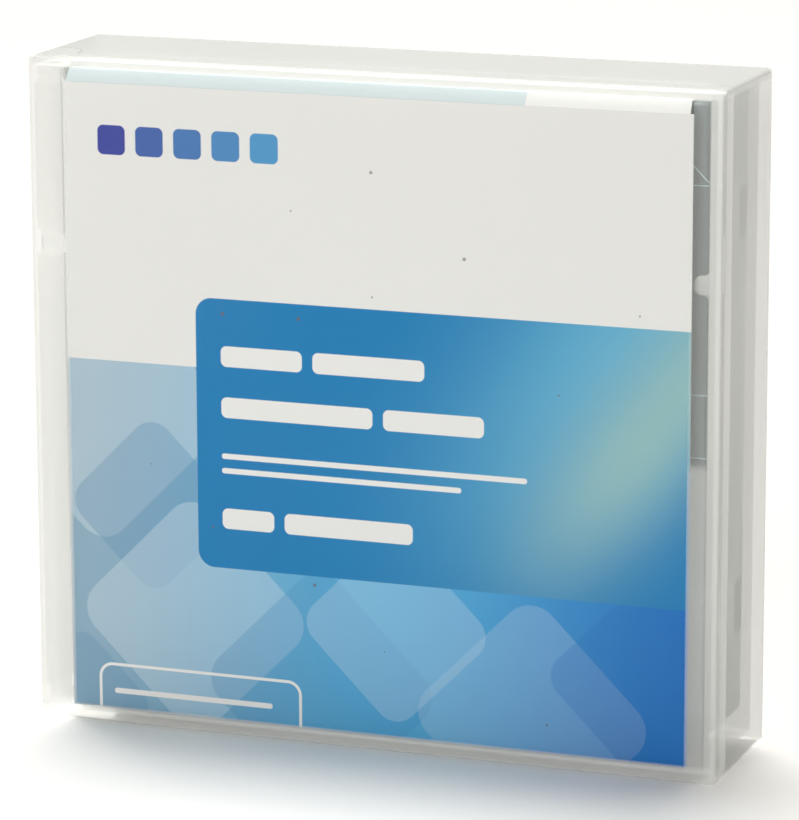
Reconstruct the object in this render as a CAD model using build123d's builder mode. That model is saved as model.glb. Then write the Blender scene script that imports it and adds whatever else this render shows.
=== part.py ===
"""Tape cleaning cartridge in its hinged storage case.

Frame: origin under the middle of the case, +Z up, the lid with its card looks along -Y and
the hinge runs up the left side (-X). All lengths are in millimetres.
"""

import math
import os

from build123d import *

os.makedirs("parts", exist_ok=True)

# Cartridge, of the standard outline, and the room that the case leaves round it
cart_length = 102.0
cart_width = 105.4
cart_thickness = 21.5
cart_end_gap = 1.35
cart_foot_gap = 0.3
cart_top_gap = 0.7
cart_setback = 3.3
cart_back_gap = 0.3
tail_room = 9.25

# Storage case
wall = 1.8
plate = 1.5
pad_height = 0.4
case_width = tail_room + cart_length + cart_end_gap + 2 * wall
case_height = cart_foot_gap + cart_width + cart_top_gap + 2 * wall
case_depth = cart_setback + cart_thickness + cart_back_gap + pad_height + plate
corner_radius = 0.8
foot_radius = 2.8
edge_radius = 0.5

# Joint between lid and base
lid_depth = 5.2
parting_gap = 0.15
lip_height = 2.4
lip_thickness = 0.8
lip_gap = 0.2
latch_bump = 0.3
latch_groove = 0.25
latch_width = 8.0
latch_length = 1.2
latch_inset = 27.0
latch_spread = case_height - 2 * latch_inset

# Hinge: its axis stands up beside the left edge of the case
hinge_inset = 2.2
hinge_setback = 6.0
hinge_clearance = 0.15
shoulder_wall = 1.3
shoulder_reach = 2.4
ear_radius = 4.1
ear_clearance = 0.3
ear_gap = 0.2
pin_radius = 1.1
pin_fit = 0.08
pin_length = 1.9
lug_radius = 3.2
lug_reach = 2.8
lug_height = 2.6

# Inner rim of the lid on its latch side, and the fingers on both sides of the card
rim = 0.9
finger_gap = 0.2
finger_root = 0.8
tab_drop = 30.6
tab_height = case_height - tab_drop
tab_width = 3.1
tab_thickness = 0.6
tab_reach = 1.6
tab_foot = 2.2
tab_foot_setback = 1.2
tab_swing = 3.1
tab_notch_gap = 0.5

# Printed card
card_left_margin = 5.3
card_right_margin = 5.25
card_thickness = 0.3
card_gap = 0.08
card_foot_gap = 0.2
card_top_gap = 4.0
card_fold_height = case_height - card_top_gap
flap_thickness = 0.25
flap_margin = 0.55
flap_taper = 1.7
flap_rise = 1.3
flap_length = 20.0
flap_clearance = 0.3

# Locators in the base
fin_thickness = 1.2
fin_count = 4
fin_pitch = cart_width / fin_count
fin_gap = 0.3
fin_setback = 9.0
pad_width = 2.0
pad_end_margin = 9.0
pad_side_margin = 22.7
pad_length = cart_length - 2 * pad_end_margin
pad_spread = cart_width - 2 * pad_side_margin
stop_height = 9.0
stop_depth = 4.4
stop_setback = 15.2
stop_low = 20.4
stop_drop = 26.0
stop_high = case_height - stop_drop
stop_gap = 0.3

# Cartridge shells
shell_side = 1.8
shell_plate = 1.7
rear_radius = 2.0
nose_radius = 1.5
nose_chamfer = 4.0
inner_radius = 0.4
shell_edge = 0.7
panel_depth = 0.25
panel_length = 11.0
panel_edge_gap = 12.75
high_panel_start = 7.0
low_panel_start = 3.0
low_panel_end = 26.0
foot_panel_end = 43.4
label_recess_start = 7.0
label_recess_end = 39.0
label_recess_side = 19.7
rear_recess_depth = 0.5
rear_recess_foot = 8.7
rear_recess_head = 26.7
rear_recess_margin = 2.6
datum_radius = 2.5
datum_depth = 1.0
datum_inset_x = 16.0
datum_inset_z = 6.2
notch_length = 5.6
notch_depth = 1.1
notch_height = 8.0
notch_inset = 14.0
arrow_size = 4.2
arrow_setback = 17.0
grip_count = 5
grip_pitch = 3.4
grip_width = 1.4
grip_depth = 0.4
grip_length = 9.0
grip_start = 12.0
nose_pad = 0.5
nose_pad_top = 0.7
long_pad_height = 5.3
long_pad_edge = 4.7
long_pad_length = 19.9
wedge_edge = 4.4
wedge_length = 12.9
wedge_wide = 8.4
wedge_narrow = 3.6
ring_wall = 1.0
ring_height = 2.8
ring_play = 0.7
upper_arc_angles = (50, 130)
lower_arc_angles = (195, 235)

# Screws
boss_radius = 2.9
boss_inset_x = 5.4
boss_inset_z = 5.4
screw_radius = 1.0
screw_fit = 0.03
screw_hole = 1.3
screw_length = 13.5
screw_sink = 0.5
head_radius = 2.1
head_height = 1.3
head_clearance = 0.25
drive_slot = 0.6
drive_depth = 0.7
boss_floor = 3.2
fourth_screw_rise = 19.7

# Reel
reel_margin = 2.8
flange_radius = min(cart_length, cart_width) / 2 - reel_margin
flange_thickness = 1.2
flange_start = 3.1
reel_headroom = 1.3
hub_radius = 22.0
hub_bore = 19.0
land_gap = 0.1
land_inner = 18.8
land_outer = 21.0
opening_radius = 18.2
web_thickness = 2.0
drive_ring_inner = 14.2
drive_ring_outer = 17.4
drive_root = 1.9
tooth_count = 60
tooth_height = 1.0
tooth_width = 1.1
tooth_tip = 0.2
tooth_gap = 0.1
window_width = 5.0
window_inner = 13.9
window_outer = 17.7
collar_radius = 18.9
collar_wall = 0.9
collar_height = 1.0
disc_radius = 12.6
disc_bore = 4.0
disc_thickness = 1.0
stud_radius = 1.1
stud_fit = 0.05
stud_ring = 8.4
tape_side_gap = 0.175
tape_thickness = 0.1
pack_radius = 33.5
pack_fit = 0.05

# Brake
brake_tooth_inner = 13.0
brake_tooth_outer = 17.0
brake_arc_height = 2.9
brake_arc_angle = 78.0
brake_disc_radius = 17.3
brake_ring_inner = 12.5
brake_rim = 1.8
brake_web = 1.0
brake_travel = 2.0
brake_boss_radius = 3.0
socket_radius = 6.4
socket_headroom = 2.4
key_length = 9.2
key_width = 1.8
key_fit = 0.15
key_tip_gap = 0.4
release_thickness = 1.2
release_gap = 0.1
release_centre = 9.0
release_dome = 2.5
release_dome_height = 0.4
release_dome_gap = 0.1
arm_width = 4.2
arm_reach = 17.3
leg_inner = 14.3
leg_foot = 1.3
spring_radius = 8.2
spring_wire = 0.8
spring_turns = 3.5
spring_gap = 0.05
spring_seat_wall = 0.8
spring_seat_height = 1.2
spring_seat_gap = 0.5

# Access door and its spring
door_length = 16.9
door_thickness = 1.2
door_gap = 0.15
door_edge_gap = 0.3
door_travel = 15.6
door_nose_gap = 4.9
opening_length = 15.0
opening_cover = 0.8
opening_margin = 3.2
rail_gap = 0.2
rail_wall = 1.0
rail_height = 1.5
tail_length = 3.0
tail_height = 2.1
tail_width = 3.8
door_spring_radius = 0.95
door_spring_wire = 0.35
door_spring_turns = 8
door_seat_thickness = 1.5
door_seat_start = 4.5
door_ridge_count = 3
door_ridge = 0.3

# Leader pin, its clip and its spring
pin_axis_rise = 7.2
leader_disc_radius = 2.9
leader_disc = 1.2
leader_groove_radius = 2.0
leader_groove = 0.4
leader_flange_radius = 2.5
leader_flange = 0.6
leader_core_radius = 1.6
leader_end_gap = 0.3
seat_fit = 0.15
seat_wall = 1.2
seat_height = 1.4
clip_radius = 2.3
clip_fit = 0.05
clip_slot_angle = 50.0
leaf_thickness = 0.3
leaf_gap = 0.12
leaf_rise = 13.0
leaf_tip = 3.5

# Write-protect switch and memory module
switch_offset = 34.0
switch_window = 10.0
switch_window_low = 3.5
switch_window_high = 9.0
switch_travel = 4.0
switch_thumb = 5.2
switch_body = 14.4
switch_plate = 1.1
switch_gap = 0.12
switch_recess = 0.3
switch_rail = 1.0
switch_ridge = 0.35
memory_width = 10.0
memory_thickness = 0.7
memory_inset_x = 12.5
memory_inset_z = 12.7
memory_slot_fit = 0.1
memory_slot_wall = 1.0
memory_slot_height = 2.6
memory_end_gap = 0.3
memory_chip = 5.0
memory_chip_height = 0.8

# Places that follow from the sizes above
left = -case_width / 2
right = case_width / 2
front = -case_depth / 2
back = case_depth / 2
hinge_x = left + hinge_inset
hinge_y = front + hinge_setback
lid_root = lid_depth - lip_height - lip_gap
split_y = front + lid_depth + parting_gap
shoulder_radius = hinge_setback - plate - hinge_clearance
shoulder_inner = shoulder_radius - shoulder_wall
spine_inner = left + wall
ear_end = hinge_x + ear_radius

cart_right = right - wall - cart_end_gap
cart_left = cart_right - cart_length
cart_bottom = wall + cart_foot_gap
cart_top = cart_bottom + cart_width
cart_front = front + cart_setback
cart_back = cart_front + cart_thickness
reel_x = (cart_left + cart_right) / 2
reel_z = (cart_bottom + cart_top) / 2
half_length = cart_length / 2
half_width = cart_width / 2
split_level = cart_thickness / 2
ceiling = cart_thickness - shell_plate
flange_top = flange_start + flange_thickness
upper_flange_start = ceiling - reel_headroom - flange_thickness
tape_space = upper_flange_start - flange_top
tape_width = tape_space - 2 * tape_side_gap
web_top = flange_start + web_thickness
brake_root = web_top + brake_arc_height
ring_radius = flange_radius + ring_play
mid_level = flange_top + tape_space / 2


def facing_front(y):
    """Plane at depth position y that looks out of the front, x to the right and z up."""
    return Plane(origin=(0, y, 0), x_dir=(1, 0, 0), z_dir=(0, -1, 0))


def reel_plane(level):
    """Plane across the reel axis, at a level above the cartridge's lower face."""
    return Plane(origin=(reel_x, cart_back - level, reel_z), x_dir=(1, 0, 0), z_dir=(0, -1, 0))


def case_outline(inset):
    """Front outline of the case drawn inwards by inset, rounder at the foot of the hinge."""
    with BuildSketch() as outline:
        with Locations((0, case_height / 2)):
            Rectangle(case_width - 2 * inset, case_height - 2 * inset)
        rising = Axis((0, 0, 0), (1, 1, 0))
        small = outline.vertices().sort_by(rising)[1:]
        fillet(small, max(corner_radius - inset, inner_radius))
        fillet(outline.vertices().sort_by(rising)[0], max(foot_radius - inset, inner_radius))
    return outline.sketch


def cartridge_outline(inset):
    """Outline of the cartridge round the reel axis: square tail, chamfered door corner."""
    with BuildSketch() as outline:
        Rectangle(cart_length - 2 * inset, cart_width - 2 * inset)
        falling = Axis((0, 0, 0), (1, -1, 0))
        chamfer(outline.vertices().sort_by(falling)[-1], nose_chamfer - inset * (2 - math.sqrt(2)))
        rising = Axis((0, 0, 0), (1, 1, 0))
        fillet(outline.vertices().sort_by(rising)[-1], max(nose_radius - inset, inner_radius))
        tail = outline.vertices().group_by(Axis.X)[0]
        fillet(tail, max(rear_radius - inset, inner_radius))
    return outline.sketch


def arc_angle(across, radius):
    """Angle below the hinge at which an arc of this radius is this far across from the axis."""
    return 360 - math.degrees(math.acos(across / radius))


outer_outline = case_outline(0)
inner_outline = case_outline(wall)
lip_outline = case_outline(wall - lip_thickness)
skirt_outline = case_outline(wall - lip_thickness - lip_gap)
shell_outline = cartridge_outline(0)
shell_cavity = cartridge_outline(shell_side)

# Ear of the lid, seen from above: it wraps round the hinge axis
with BuildSketch() as ear_profile:
    with Locations((hinge_x, hinge_y)):
        Circle(ear_radius)
    with Locations(((left + ear_end) / 2, (front + plate / 2 + hinge_y) / 2)):
        Rectangle(ear_end - left, hinge_y - front - plate / 2)
    with Locations((0, front + case_depth / 2)):
        Rectangle(case_width, case_depth, mode=Mode.INTERSECT)

# Lug of the base that holds a hinge pin, seen from above
with BuildSketch() as lug_profile:
    with Locations((hinge_x, hinge_y)):
        Circle(lug_radius)
    with Locations(((left + hinge_x + lug_reach) / 2, hinge_y + hinge_setback / 2)):
        Rectangle(hinge_x + lug_reach - left, hinge_setback)
    with Locations(((left + spine_inner) / 2, hinge_y)):
        Rectangle(wall, 2 * shoulder_inner - 2 * tab_foot_setback)
    with Locations(((left + hinge_x + lug_reach) / 2, 0)):
        Rectangle(hinge_x + lug_reach - left, case_depth, mode=Mode.INTERSECT)

# Inner rim of the lid and its finger, seen from the front: a strip with a round-ended arm
finger_tip = right - card_right_margin + finger_gap
rim_start = right - wall - rim
with BuildSketch() as rim_outline:
    with Locations((right - wall - rim / 2, case_height / 2)):
        Rectangle(rim, case_height - 2 * wall)
    with Locations(((finger_tip + right - wall) / 2, tab_height)):
        Rectangle(right - wall - finger_tip, tab_width)
    roots = rim_outline.vertices().filter_by_position(Axis.X, rim_start - 0.01, rim_start + 0.01)
    fillet(roots.sort_by(Axis.Y)[1:3], finger_root)
    tips = rim_outline.vertices().group_by(Axis.X)[0]
    fillet(tips, tab_width / 2 - inner_radius)

# Case lid: front plate, three shallow walls, two hinge ears, rim and two card fingers
with BuildPart() as case_lid:
    with BuildSketch(facing_front(front + plate)):
        add(outer_outline)
    extrude(amount=plate)
    with BuildSketch(facing_front(front + lid_root)):
        add(outer_outline)
        add(inner_outline, mode=Mode.SUBTRACT)
        with Locations(((left + hinge_x) / 2, case_height / 2)):
            Rectangle(hinge_x - left + wall, case_height - 2 * wall, mode=Mode.SUBTRACT)
    extrude(amount=lid_root - plate)
    with BuildSketch(facing_front(front + lid_depth)):
        add(outer_outline)
        add(skirt_outline, mode=Mode.SUBTRACT)
        with Locations(((left + hinge_x) / 2, case_height / 2)):
            Rectangle(hinge_x - left + wall, case_height - 2 * wall, mode=Mode.SUBTRACT)
    extrude(amount=lid_depth - lid_root)
    with BuildSketch(Plane.XY):
        add(ear_profile.sketch)
    extrude(amount=wall)
    with BuildSketch(Plane.XY.offset(case_height - wall)):
        add(ear_profile.sketch)
    extrude(amount=wall)
    with BuildSketch(facing_front(back)):
        add(outer_outline)
    extrude(amount=case_depth, mode=Mode.INTERSECT)
    fillet(case_lid.edges().group_by(Axis.Y)[0], edge_radius)
    # Pins on the inner faces of the ears
    with BuildSketch(Plane.XY.offset(wall)):
        with Locations((hinge_x, hinge_y)):
            Circle(pin_radius)
    extrude(amount=pin_length)
    with BuildSketch(Plane.XY.offset(case_height - wall)):
        with Locations((hinge_x, hinge_y)):
            Circle(pin_radius)
    extrude(amount=-pin_length)
    # Inner rim on the latch side, with the finger that keeps the card off it
    with BuildSketch(facing_front(front + lid_root)):
        add(rim_outline.sketch)
    extrude(amount=lid_root - plate)
    # Finger behind the hinge side of the card
    finger_front = front + plate + card_gap + card_thickness + card_gap
    left_start = hinge_x - tab_foot_setback
    left_finger = left + card_left_margin + tab_reach - left_start
    with BuildSketch(facing_front(finger_front + tab_thickness)):
        with Locations((left_start + left_finger / 2, tab_height)):
            RectangleRounded(left_finger, tab_width, tab_width / 2 - inner_radius)
    extrude(amount=tab_thickness)
    with BuildSketch(facing_front(finger_front + tab_thickness)):
        with Locations((left_start + tab_foot / 2, tab_height)):
            Rectangle(tab_foot, tab_width - 2 * inner_radius)
    extrude(amount=finger_front + tab_thickness - front - plate)
    # Grooves that the latch bumps of the base click into
    with BuildSketch(facing_front(front + lid_depth - lip_height / 2 + latch_length / 2)):
        with Locations((right - wall + lip_thickness + lip_gap, case_height / 2)):
            with GridLocations(0, latch_spread, 1, 2):
                Rectangle(2 * latch_groove, latch_width + latch_length)
    extrude(amount=latch_length + parting_gap, mode=Mode.SUBTRACT)
case_lid.part.label = "case_lid"
export_step(case_lid.part, "parts/case_lid.step")

# Case base: deep tray with a rounded hinge shoulder, pin lugs, lips and locators
with BuildPart() as case_base:
    with BuildSketch(facing_front(back)):
        add(outer_outline)
    extrude(amount=back - split_y)
    fillet(case_base.edges().group_by(Axis.Y)[-1], edge_radius)
    with BuildSketch(facing_front(back - plate)):
        add(inner_outline)
    extrude(amount=case_depth, mode=Mode.SUBTRACT)
    # Lip that nests inside the rim of the lid
    with BuildSketch(facing_front(split_y)):
        add(lip_outline)
        add(inner_outline, mode=Mode.SUBTRACT)
        with Locations((ear_end - case_width / 2 + lip_height, case_height / 2)):
            Rectangle(case_width, case_height, mode=Mode.SUBTRACT)
    extrude(amount=lip_height)
    # Latch bumps on the right lip
    with BuildSketch(facing_front(front + lid_depth - lip_height / 2 + latch_length / 4)):
        with Locations((right - wall + lip_thickness, case_height / 2)):
            with GridLocations(0, latch_spread, 1, 2):
                Rectangle(2 * latch_bump, latch_width)
        with Locations((right - case_width / 2 - wall / 2, case_height / 2)):
            Rectangle(case_width, case_height, mode=Mode.INTERSECT)
    extrude(amount=latch_length / 2)
    # Room for the ears at both ends of the hinge
    with BuildSketch(Plane.XY):
        with Locations((hinge_x, hinge_y)):
            Circle(ear_radius + ear_clearance)
    extrude(amount=wall + ear_gap, mode=Mode.SUBTRACT)
    with BuildSketch(Plane.XY.offset(case_height - wall - ear_gap)):
        with Locations((hinge_x, hinge_y)):
            Circle(ear_radius + ear_clearance)
    extrude(amount=wall + ear_gap, mode=Mode.SUBTRACT)
    # Lugs with blind holes for the pins
    with BuildSketch(Plane.XY.offset(wall + ear_gap)):
        add(lug_profile.sketch)
    extrude(amount=lug_height)
    with BuildSketch(Plane.XY.offset(case_height - wall - ear_gap)):
        add(lug_profile.sketch)
    extrude(amount=-lug_height)
    with BuildSketch(Plane.XY.offset(wall)):
        with Locations((hinge_x, hinge_y)):
            Circle(pin_radius + pin_fit)
    extrude(amount=pin_length + ear_gap, mode=Mode.SUBTRACT)
    with BuildSketch(Plane.XY.offset(case_height - wall)):
        with Locations((hinge_x, hinge_y)):
            Circle(pin_radius + pin_fit)
    extrude(amount=-pin_length - ear_gap, mode=Mode.SUBTRACT)
    # Rounded shoulder, concentric with the hinge so that the lid swings round it
    with BuildSketch(Plane.XY.offset(wall + ear_gap + lug_height)):
        with BuildLine():
            tip = arc_angle(shoulder_reach, shoulder_radius)
            outer_start = arc_angle(left - hinge_x, shoulder_radius)
            inner_start = arc_angle(spine_inner - hinge_x, shoulder_inner)
            outer = CenterArc((hinge_x, hinge_y), shoulder_radius, outer_start, tip - outer_start)
            inner = CenterArc((hinge_x, hinge_y), shoulder_inner, inner_start, tip - inner_start)
            Line(outer @ 1, inner @ 1)
            Line(inner @ 0, (spine_inner, split_y))
            Line((spine_inner, split_y), (left, split_y))
            Line((left, split_y), outer @ 0)
        make_face()
    extrude(amount=case_height - 2 * (wall + ear_gap + lug_height))
    # Notch in the shoulder that the left card holder swings through
    notch_width = tab_width + 2 * tab_notch_gap
    with BuildSketch(Plane.XY.offset(tab_height - notch_width / 2)):
        with Locations((hinge_x, hinge_y)):
            Circle(shoulder_radius + wall)
            Circle(tab_swing, mode=Mode.SUBTRACT)
        with Locations((hinge_x, hinge_y - hinge_setback / 2)):
            Rectangle(case_depth, hinge_setback, mode=Mode.INTERSECT)
    extrude(amount=notch_width, mode=Mode.SUBTRACT)
    # Fins that hold the tail of the cartridge off the spine
    fin_reach = cart_left - fin_gap - spine_inner
    with BuildSketch(facing_front(back - plate)):
        with Locations((spine_inner + fin_reach / 2, case_height / 2)):
            with GridLocations(0, fin_pitch, 1, fin_count):
                Rectangle(fin_reach, fin_thickness)
    extrude(amount=case_depth - plate - fin_setback)
    # Low pads on the back plate under the cartridge
    with BuildSketch(facing_front(back - plate)):
        with Locations((reel_x, reel_z)):
            with GridLocations(0, pad_spread, 1, 2):
                Rectangle(pad_length, pad_width)
    extrude(amount=pad_height)
    # Stops on the right wall beside the nose of the cartridge
    stop_reach = cart_end_gap - stop_gap
    with BuildSketch(facing_front(front + stop_setback + stop_depth)):
        with Locations((right - wall - stop_reach / 2, stop_low + stop_height / 2)):
            Rectangle(stop_reach, stop_height)
        with Locations((right - wall - stop_reach / 2, stop_high + stop_height / 2)):
            Rectangle(stop_reach, stop_height)
    extrude(amount=stop_depth)
case_base.part.label = "case_base"
export_step(case_base.part, "parts/case_base.step")

# Printed card: one sheet behind the front plate, with a flap folded back over the cartridge
card_left = left + card_left_margin
card_right = right - card_right_margin
card_front = front + plate + card_gap
card_bottom = wall + card_foot_gap
flap_level = cart_top + (case_height - wall - cart_top - flap_thickness) / 2 - flap_clearance / 4
flap_left = card_left + flap_margin
flap_back = card_front + flap_length
flap_width = card_right - flap_margin - flap_left
with BuildPart() as inlay_card:
    with BuildSketch(facing_front(card_front + card_thickness)):
        with Locations(((card_left + card_right) / 2, (card_bottom + card_fold_height) / 2)):
            Rectangle(card_right - card_left, card_fold_height - card_bottom)
    extrude(amount=card_thickness)
    with BuildSketch(Plane.YZ.offset(flap_left)):
        with BuildLine():
            Polyline(
                (card_front, card_fold_height - card_thickness),
                (card_front, card_fold_height),
                (card_front + flap_rise, flap_level + flap_thickness),
                (flap_back, flap_level + flap_thickness),
                (flap_back, flap_level),
                (card_front + flap_rise + card_thickness, flap_level),
                (card_front + card_thickness, card_fold_height - card_thickness),
                close=True,
            )
        make_face()
    extrude(amount=flap_width)
    # The flap narrows a little towards the back
    with BuildSketch(Plane.XY.offset(card_fold_height + card_thickness)):
        with BuildLine():
            Polyline(
                (flap_left + flap_width, card_front),
                (flap_left + flap_width, flap_back),
                (flap_left + flap_width - flap_taper, flap_back),
                close=True,
            )
        make_face()
        with BuildLine():
            Polyline(
                (flap_left, card_front),
                (flap_left, flap_back),
                (flap_left + flap_taper, flap_back),
                close=True,
            )
        make_face()
    extrude(amount=case_height, mode=Mode.SUBTRACT)
inlay_card.part.label = "inlay_card"
export_step(inlay_card.part, "parts/inlay_card.step")

# Places round the edge of the cartridge, measured from the reel axis
nose = half_length
tail_end = -half_length
boss_x = half_length - boss_inset_x
boss_z = half_width - boss_inset_z
screw_places = [
    (-boss_x, boss_z),
    (-boss_x, -boss_z),
    (boss_x, boss_z),
    (boss_x, -half_width + fourth_screw_rise),
]
door_front = nose - door_nose_gap
door_back = door_front - door_length
opening_front = door_front - opening_cover
opening_back = opening_front - opening_length
door_low = -half_width + shell_side + door_gap
door_high = door_low + door_thickness
rail_low = door_high + rail_gap
rail_start = door_back - door_travel - tail_length
pin_x = (opening_front + opening_back) / 2
pin_z = -half_width + pin_axis_rise
tail_back = door_back - tail_length
door_seat_x = door_seat_start
spring_axis_z = door_low + tail_height / 2
seat_start = leader_disc_radius + seat_fit
switch_low = switch_offset - switch_window / 2
memory_place = (tail_end + memory_inset_x, -half_width + memory_inset_z)
label_length = cart_length - label_recess_start - label_recess_end
rear_recess_length = cart_width - rear_recess_foot - rear_recess_head
rear_recess_middle = (rear_recess_foot - rear_recess_head) / 2
notch_places = [
    (tail_end + notch_inset, half_width - notch_depth / 2),
    (tail_end + notch_inset, -half_width + notch_depth / 2),
]


def shell_half(level, height, opens_up):
    """One half of the shell without its fittings: a plate with side walls round it."""
    with BuildPart() as half:
        with BuildSketch(reel_plane(level)):
            add(shell_outline)
        extrude(amount=height)
        outer = half.edges().group_by(Axis.Y)[-1 if opens_up else 0]
        fillet(outer, shell_edge)
        with BuildSketch(reel_plane(shell_plate if opens_up else level)):
            add(shell_cavity)
        extrude(amount=height - shell_plate, mode=Mode.SUBTRACT)
    return half.part


def ring_arc(angles):
    """Arc of wall that keeps the reel in its place, as a sketch round the reel axis."""
    low, high = angles
    with BuildSketch() as arcs:
        Circle(ring_radius + ring_wall)
        Circle(ring_radius, mode=Mode.SUBTRACT)
        with BuildSketch(mode=Mode.INTERSECT):
            with PolarLocations(half_width, 1, start_angle=(low + high) / 2):
                Rectangle(cart_length, half_width * (high - low) / 90)
    return arcs.sketch


upper_arc = ring_arc(upper_arc_angles)
lower_arc = ring_arc(lower_arc_angles)

# Sketch of the seat round one end of the leader pin, open towards the door
with BuildSketch() as pin_seat:
    with Locations((pin_x, pin_z)):
        Circle(seat_start + seat_wall)
        Circle(seat_start, mode=Mode.SUBTRACT)
    with Locations((pin_x, pin_z - half_width / 2)):
        Rectangle(4 * seat_start, half_width, mode=Mode.SUBTRACT)

# Sketch of the slotted block that holds one end of the memory module
with BuildSketch() as memory_block:
    with Locations(Location(memory_place, -45)):
        Rectangle(memory_width + 2 * memory_slot_wall, memory_thickness + 2 * memory_slot_wall)
        Rectangle(
            memory_width + 2 * memory_slot_fit,
            memory_thickness + 2 * memory_slot_fit,
            mode=Mode.SUBTRACT,
        )

# Lower shell: reel opening, screw bosses, door rail, pin seat, switch window
with BuildPart() as lower_shell:
    add(shell_half(0, split_level, True))
    with BuildSketch(reel_plane(shell_plate)):
        with Locations(*screw_places):
            Circle(boss_radius)
    extrude(amount=split_level - shell_plate)
    with BuildSketch(reel_plane(shell_plate)):
        add(lower_arc)
        add(upper_arc)
    extrude(amount=ring_height)
    with BuildSketch(reel_plane(shell_plate)):
        with Locations(((rail_start + opening_back) / 2, rail_low + rail_wall / 2)):
            Rectangle(opening_back - rail_start, rail_wall)
    extrude(amount=rail_height)
    with BuildSketch(reel_plane(shell_plate)):
        add(pin_seat.sketch)
    extrude(amount=seat_height)
    with BuildSketch(reel_plane(shell_plate)):
        add(memory_block.sketch)
    extrude(amount=memory_slot_height)
    # Seat of the door spring
    with BuildSketch(reel_plane(shell_plate)):
        with Locations((door_seat_x + door_seat_thickness / 2, door_low + tail_height / 2)):
            Rectangle(door_seat_thickness, tail_height)
    extrude(amount=split_level - shell_plate)
    # Rail behind the write-protect switch
    switch_rail_x = tail_end + shell_side + 2 * switch_gap + switch_plate
    with BuildSketch(reel_plane(shell_plate)):
        with Locations((switch_rail_x + switch_rail / 2, switch_offset)):
            Rectangle(switch_rail, switch_window)
    extrude(amount=switch_window_low - shell_plate)
    # Openings
    with BuildSketch(reel_plane(0)):
        Circle(opening_radius)
    extrude(amount=shell_plate, mode=Mode.SUBTRACT)
    with BuildSketch(reel_plane(0)):
        with Locations(*screw_places):
            Circle(head_radius + head_clearance)
    extrude(amount=screw_sink + head_height + head_clearance, mode=Mode.SUBTRACT)
    with BuildSketch(reel_plane(0)):
        with Locations(*screw_places):
            Circle(screw_hole)
    extrude(amount=split_level, mode=Mode.SUBTRACT)
    with BuildSketch(reel_plane(opening_margin)):
        with Locations(((opening_front + opening_back) / 2, -half_width + shell_side / 2)):
            Rectangle(opening_length, shell_side * 2)
    extrude(amount=split_level, mode=Mode.SUBTRACT)
    with BuildSketch(reel_plane(switch_window_low)):
        with Locations((tail_end, switch_offset)):
            Rectangle(2 * shell_side + switch_gap, switch_window)
    extrude(amount=switch_window_high - switch_window_low, mode=Mode.SUBTRACT)
    # Shallow recess for a barcode label on the tail
    with BuildSketch(reel_plane(rear_recess_margin)):
        with Locations((tail_end, rear_recess_middle)):
            Rectangle(2 * rear_recess_depth, rear_recess_length)
    extrude(amount=split_level, mode=Mode.SUBTRACT)
    # Locating sockets in the lower face and a gripper notch in each long side
    with BuildSketch(reel_plane(0)):
        with Locations((half_length - datum_inset_x, half_width - datum_inset_z)):
            Circle(datum_radius)
        with Locations((-half_length + datum_inset_x, half_width - datum_inset_z)):
            SlotOverall(3 * datum_radius, 2 * datum_radius)
    extrude(amount=datum_depth, mode=Mode.SUBTRACT)
    with BuildSketch(reel_plane(split_level - notch_height / 2)):
        with Locations(*notch_places):
            Rectangle(notch_length, notch_depth)
    extrude(amount=notch_height, mode=Mode.SUBTRACT)
lower_shell.part.label = "lower_shell"
export_step(lower_shell.part, "parts/lower_shell.step")

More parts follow.
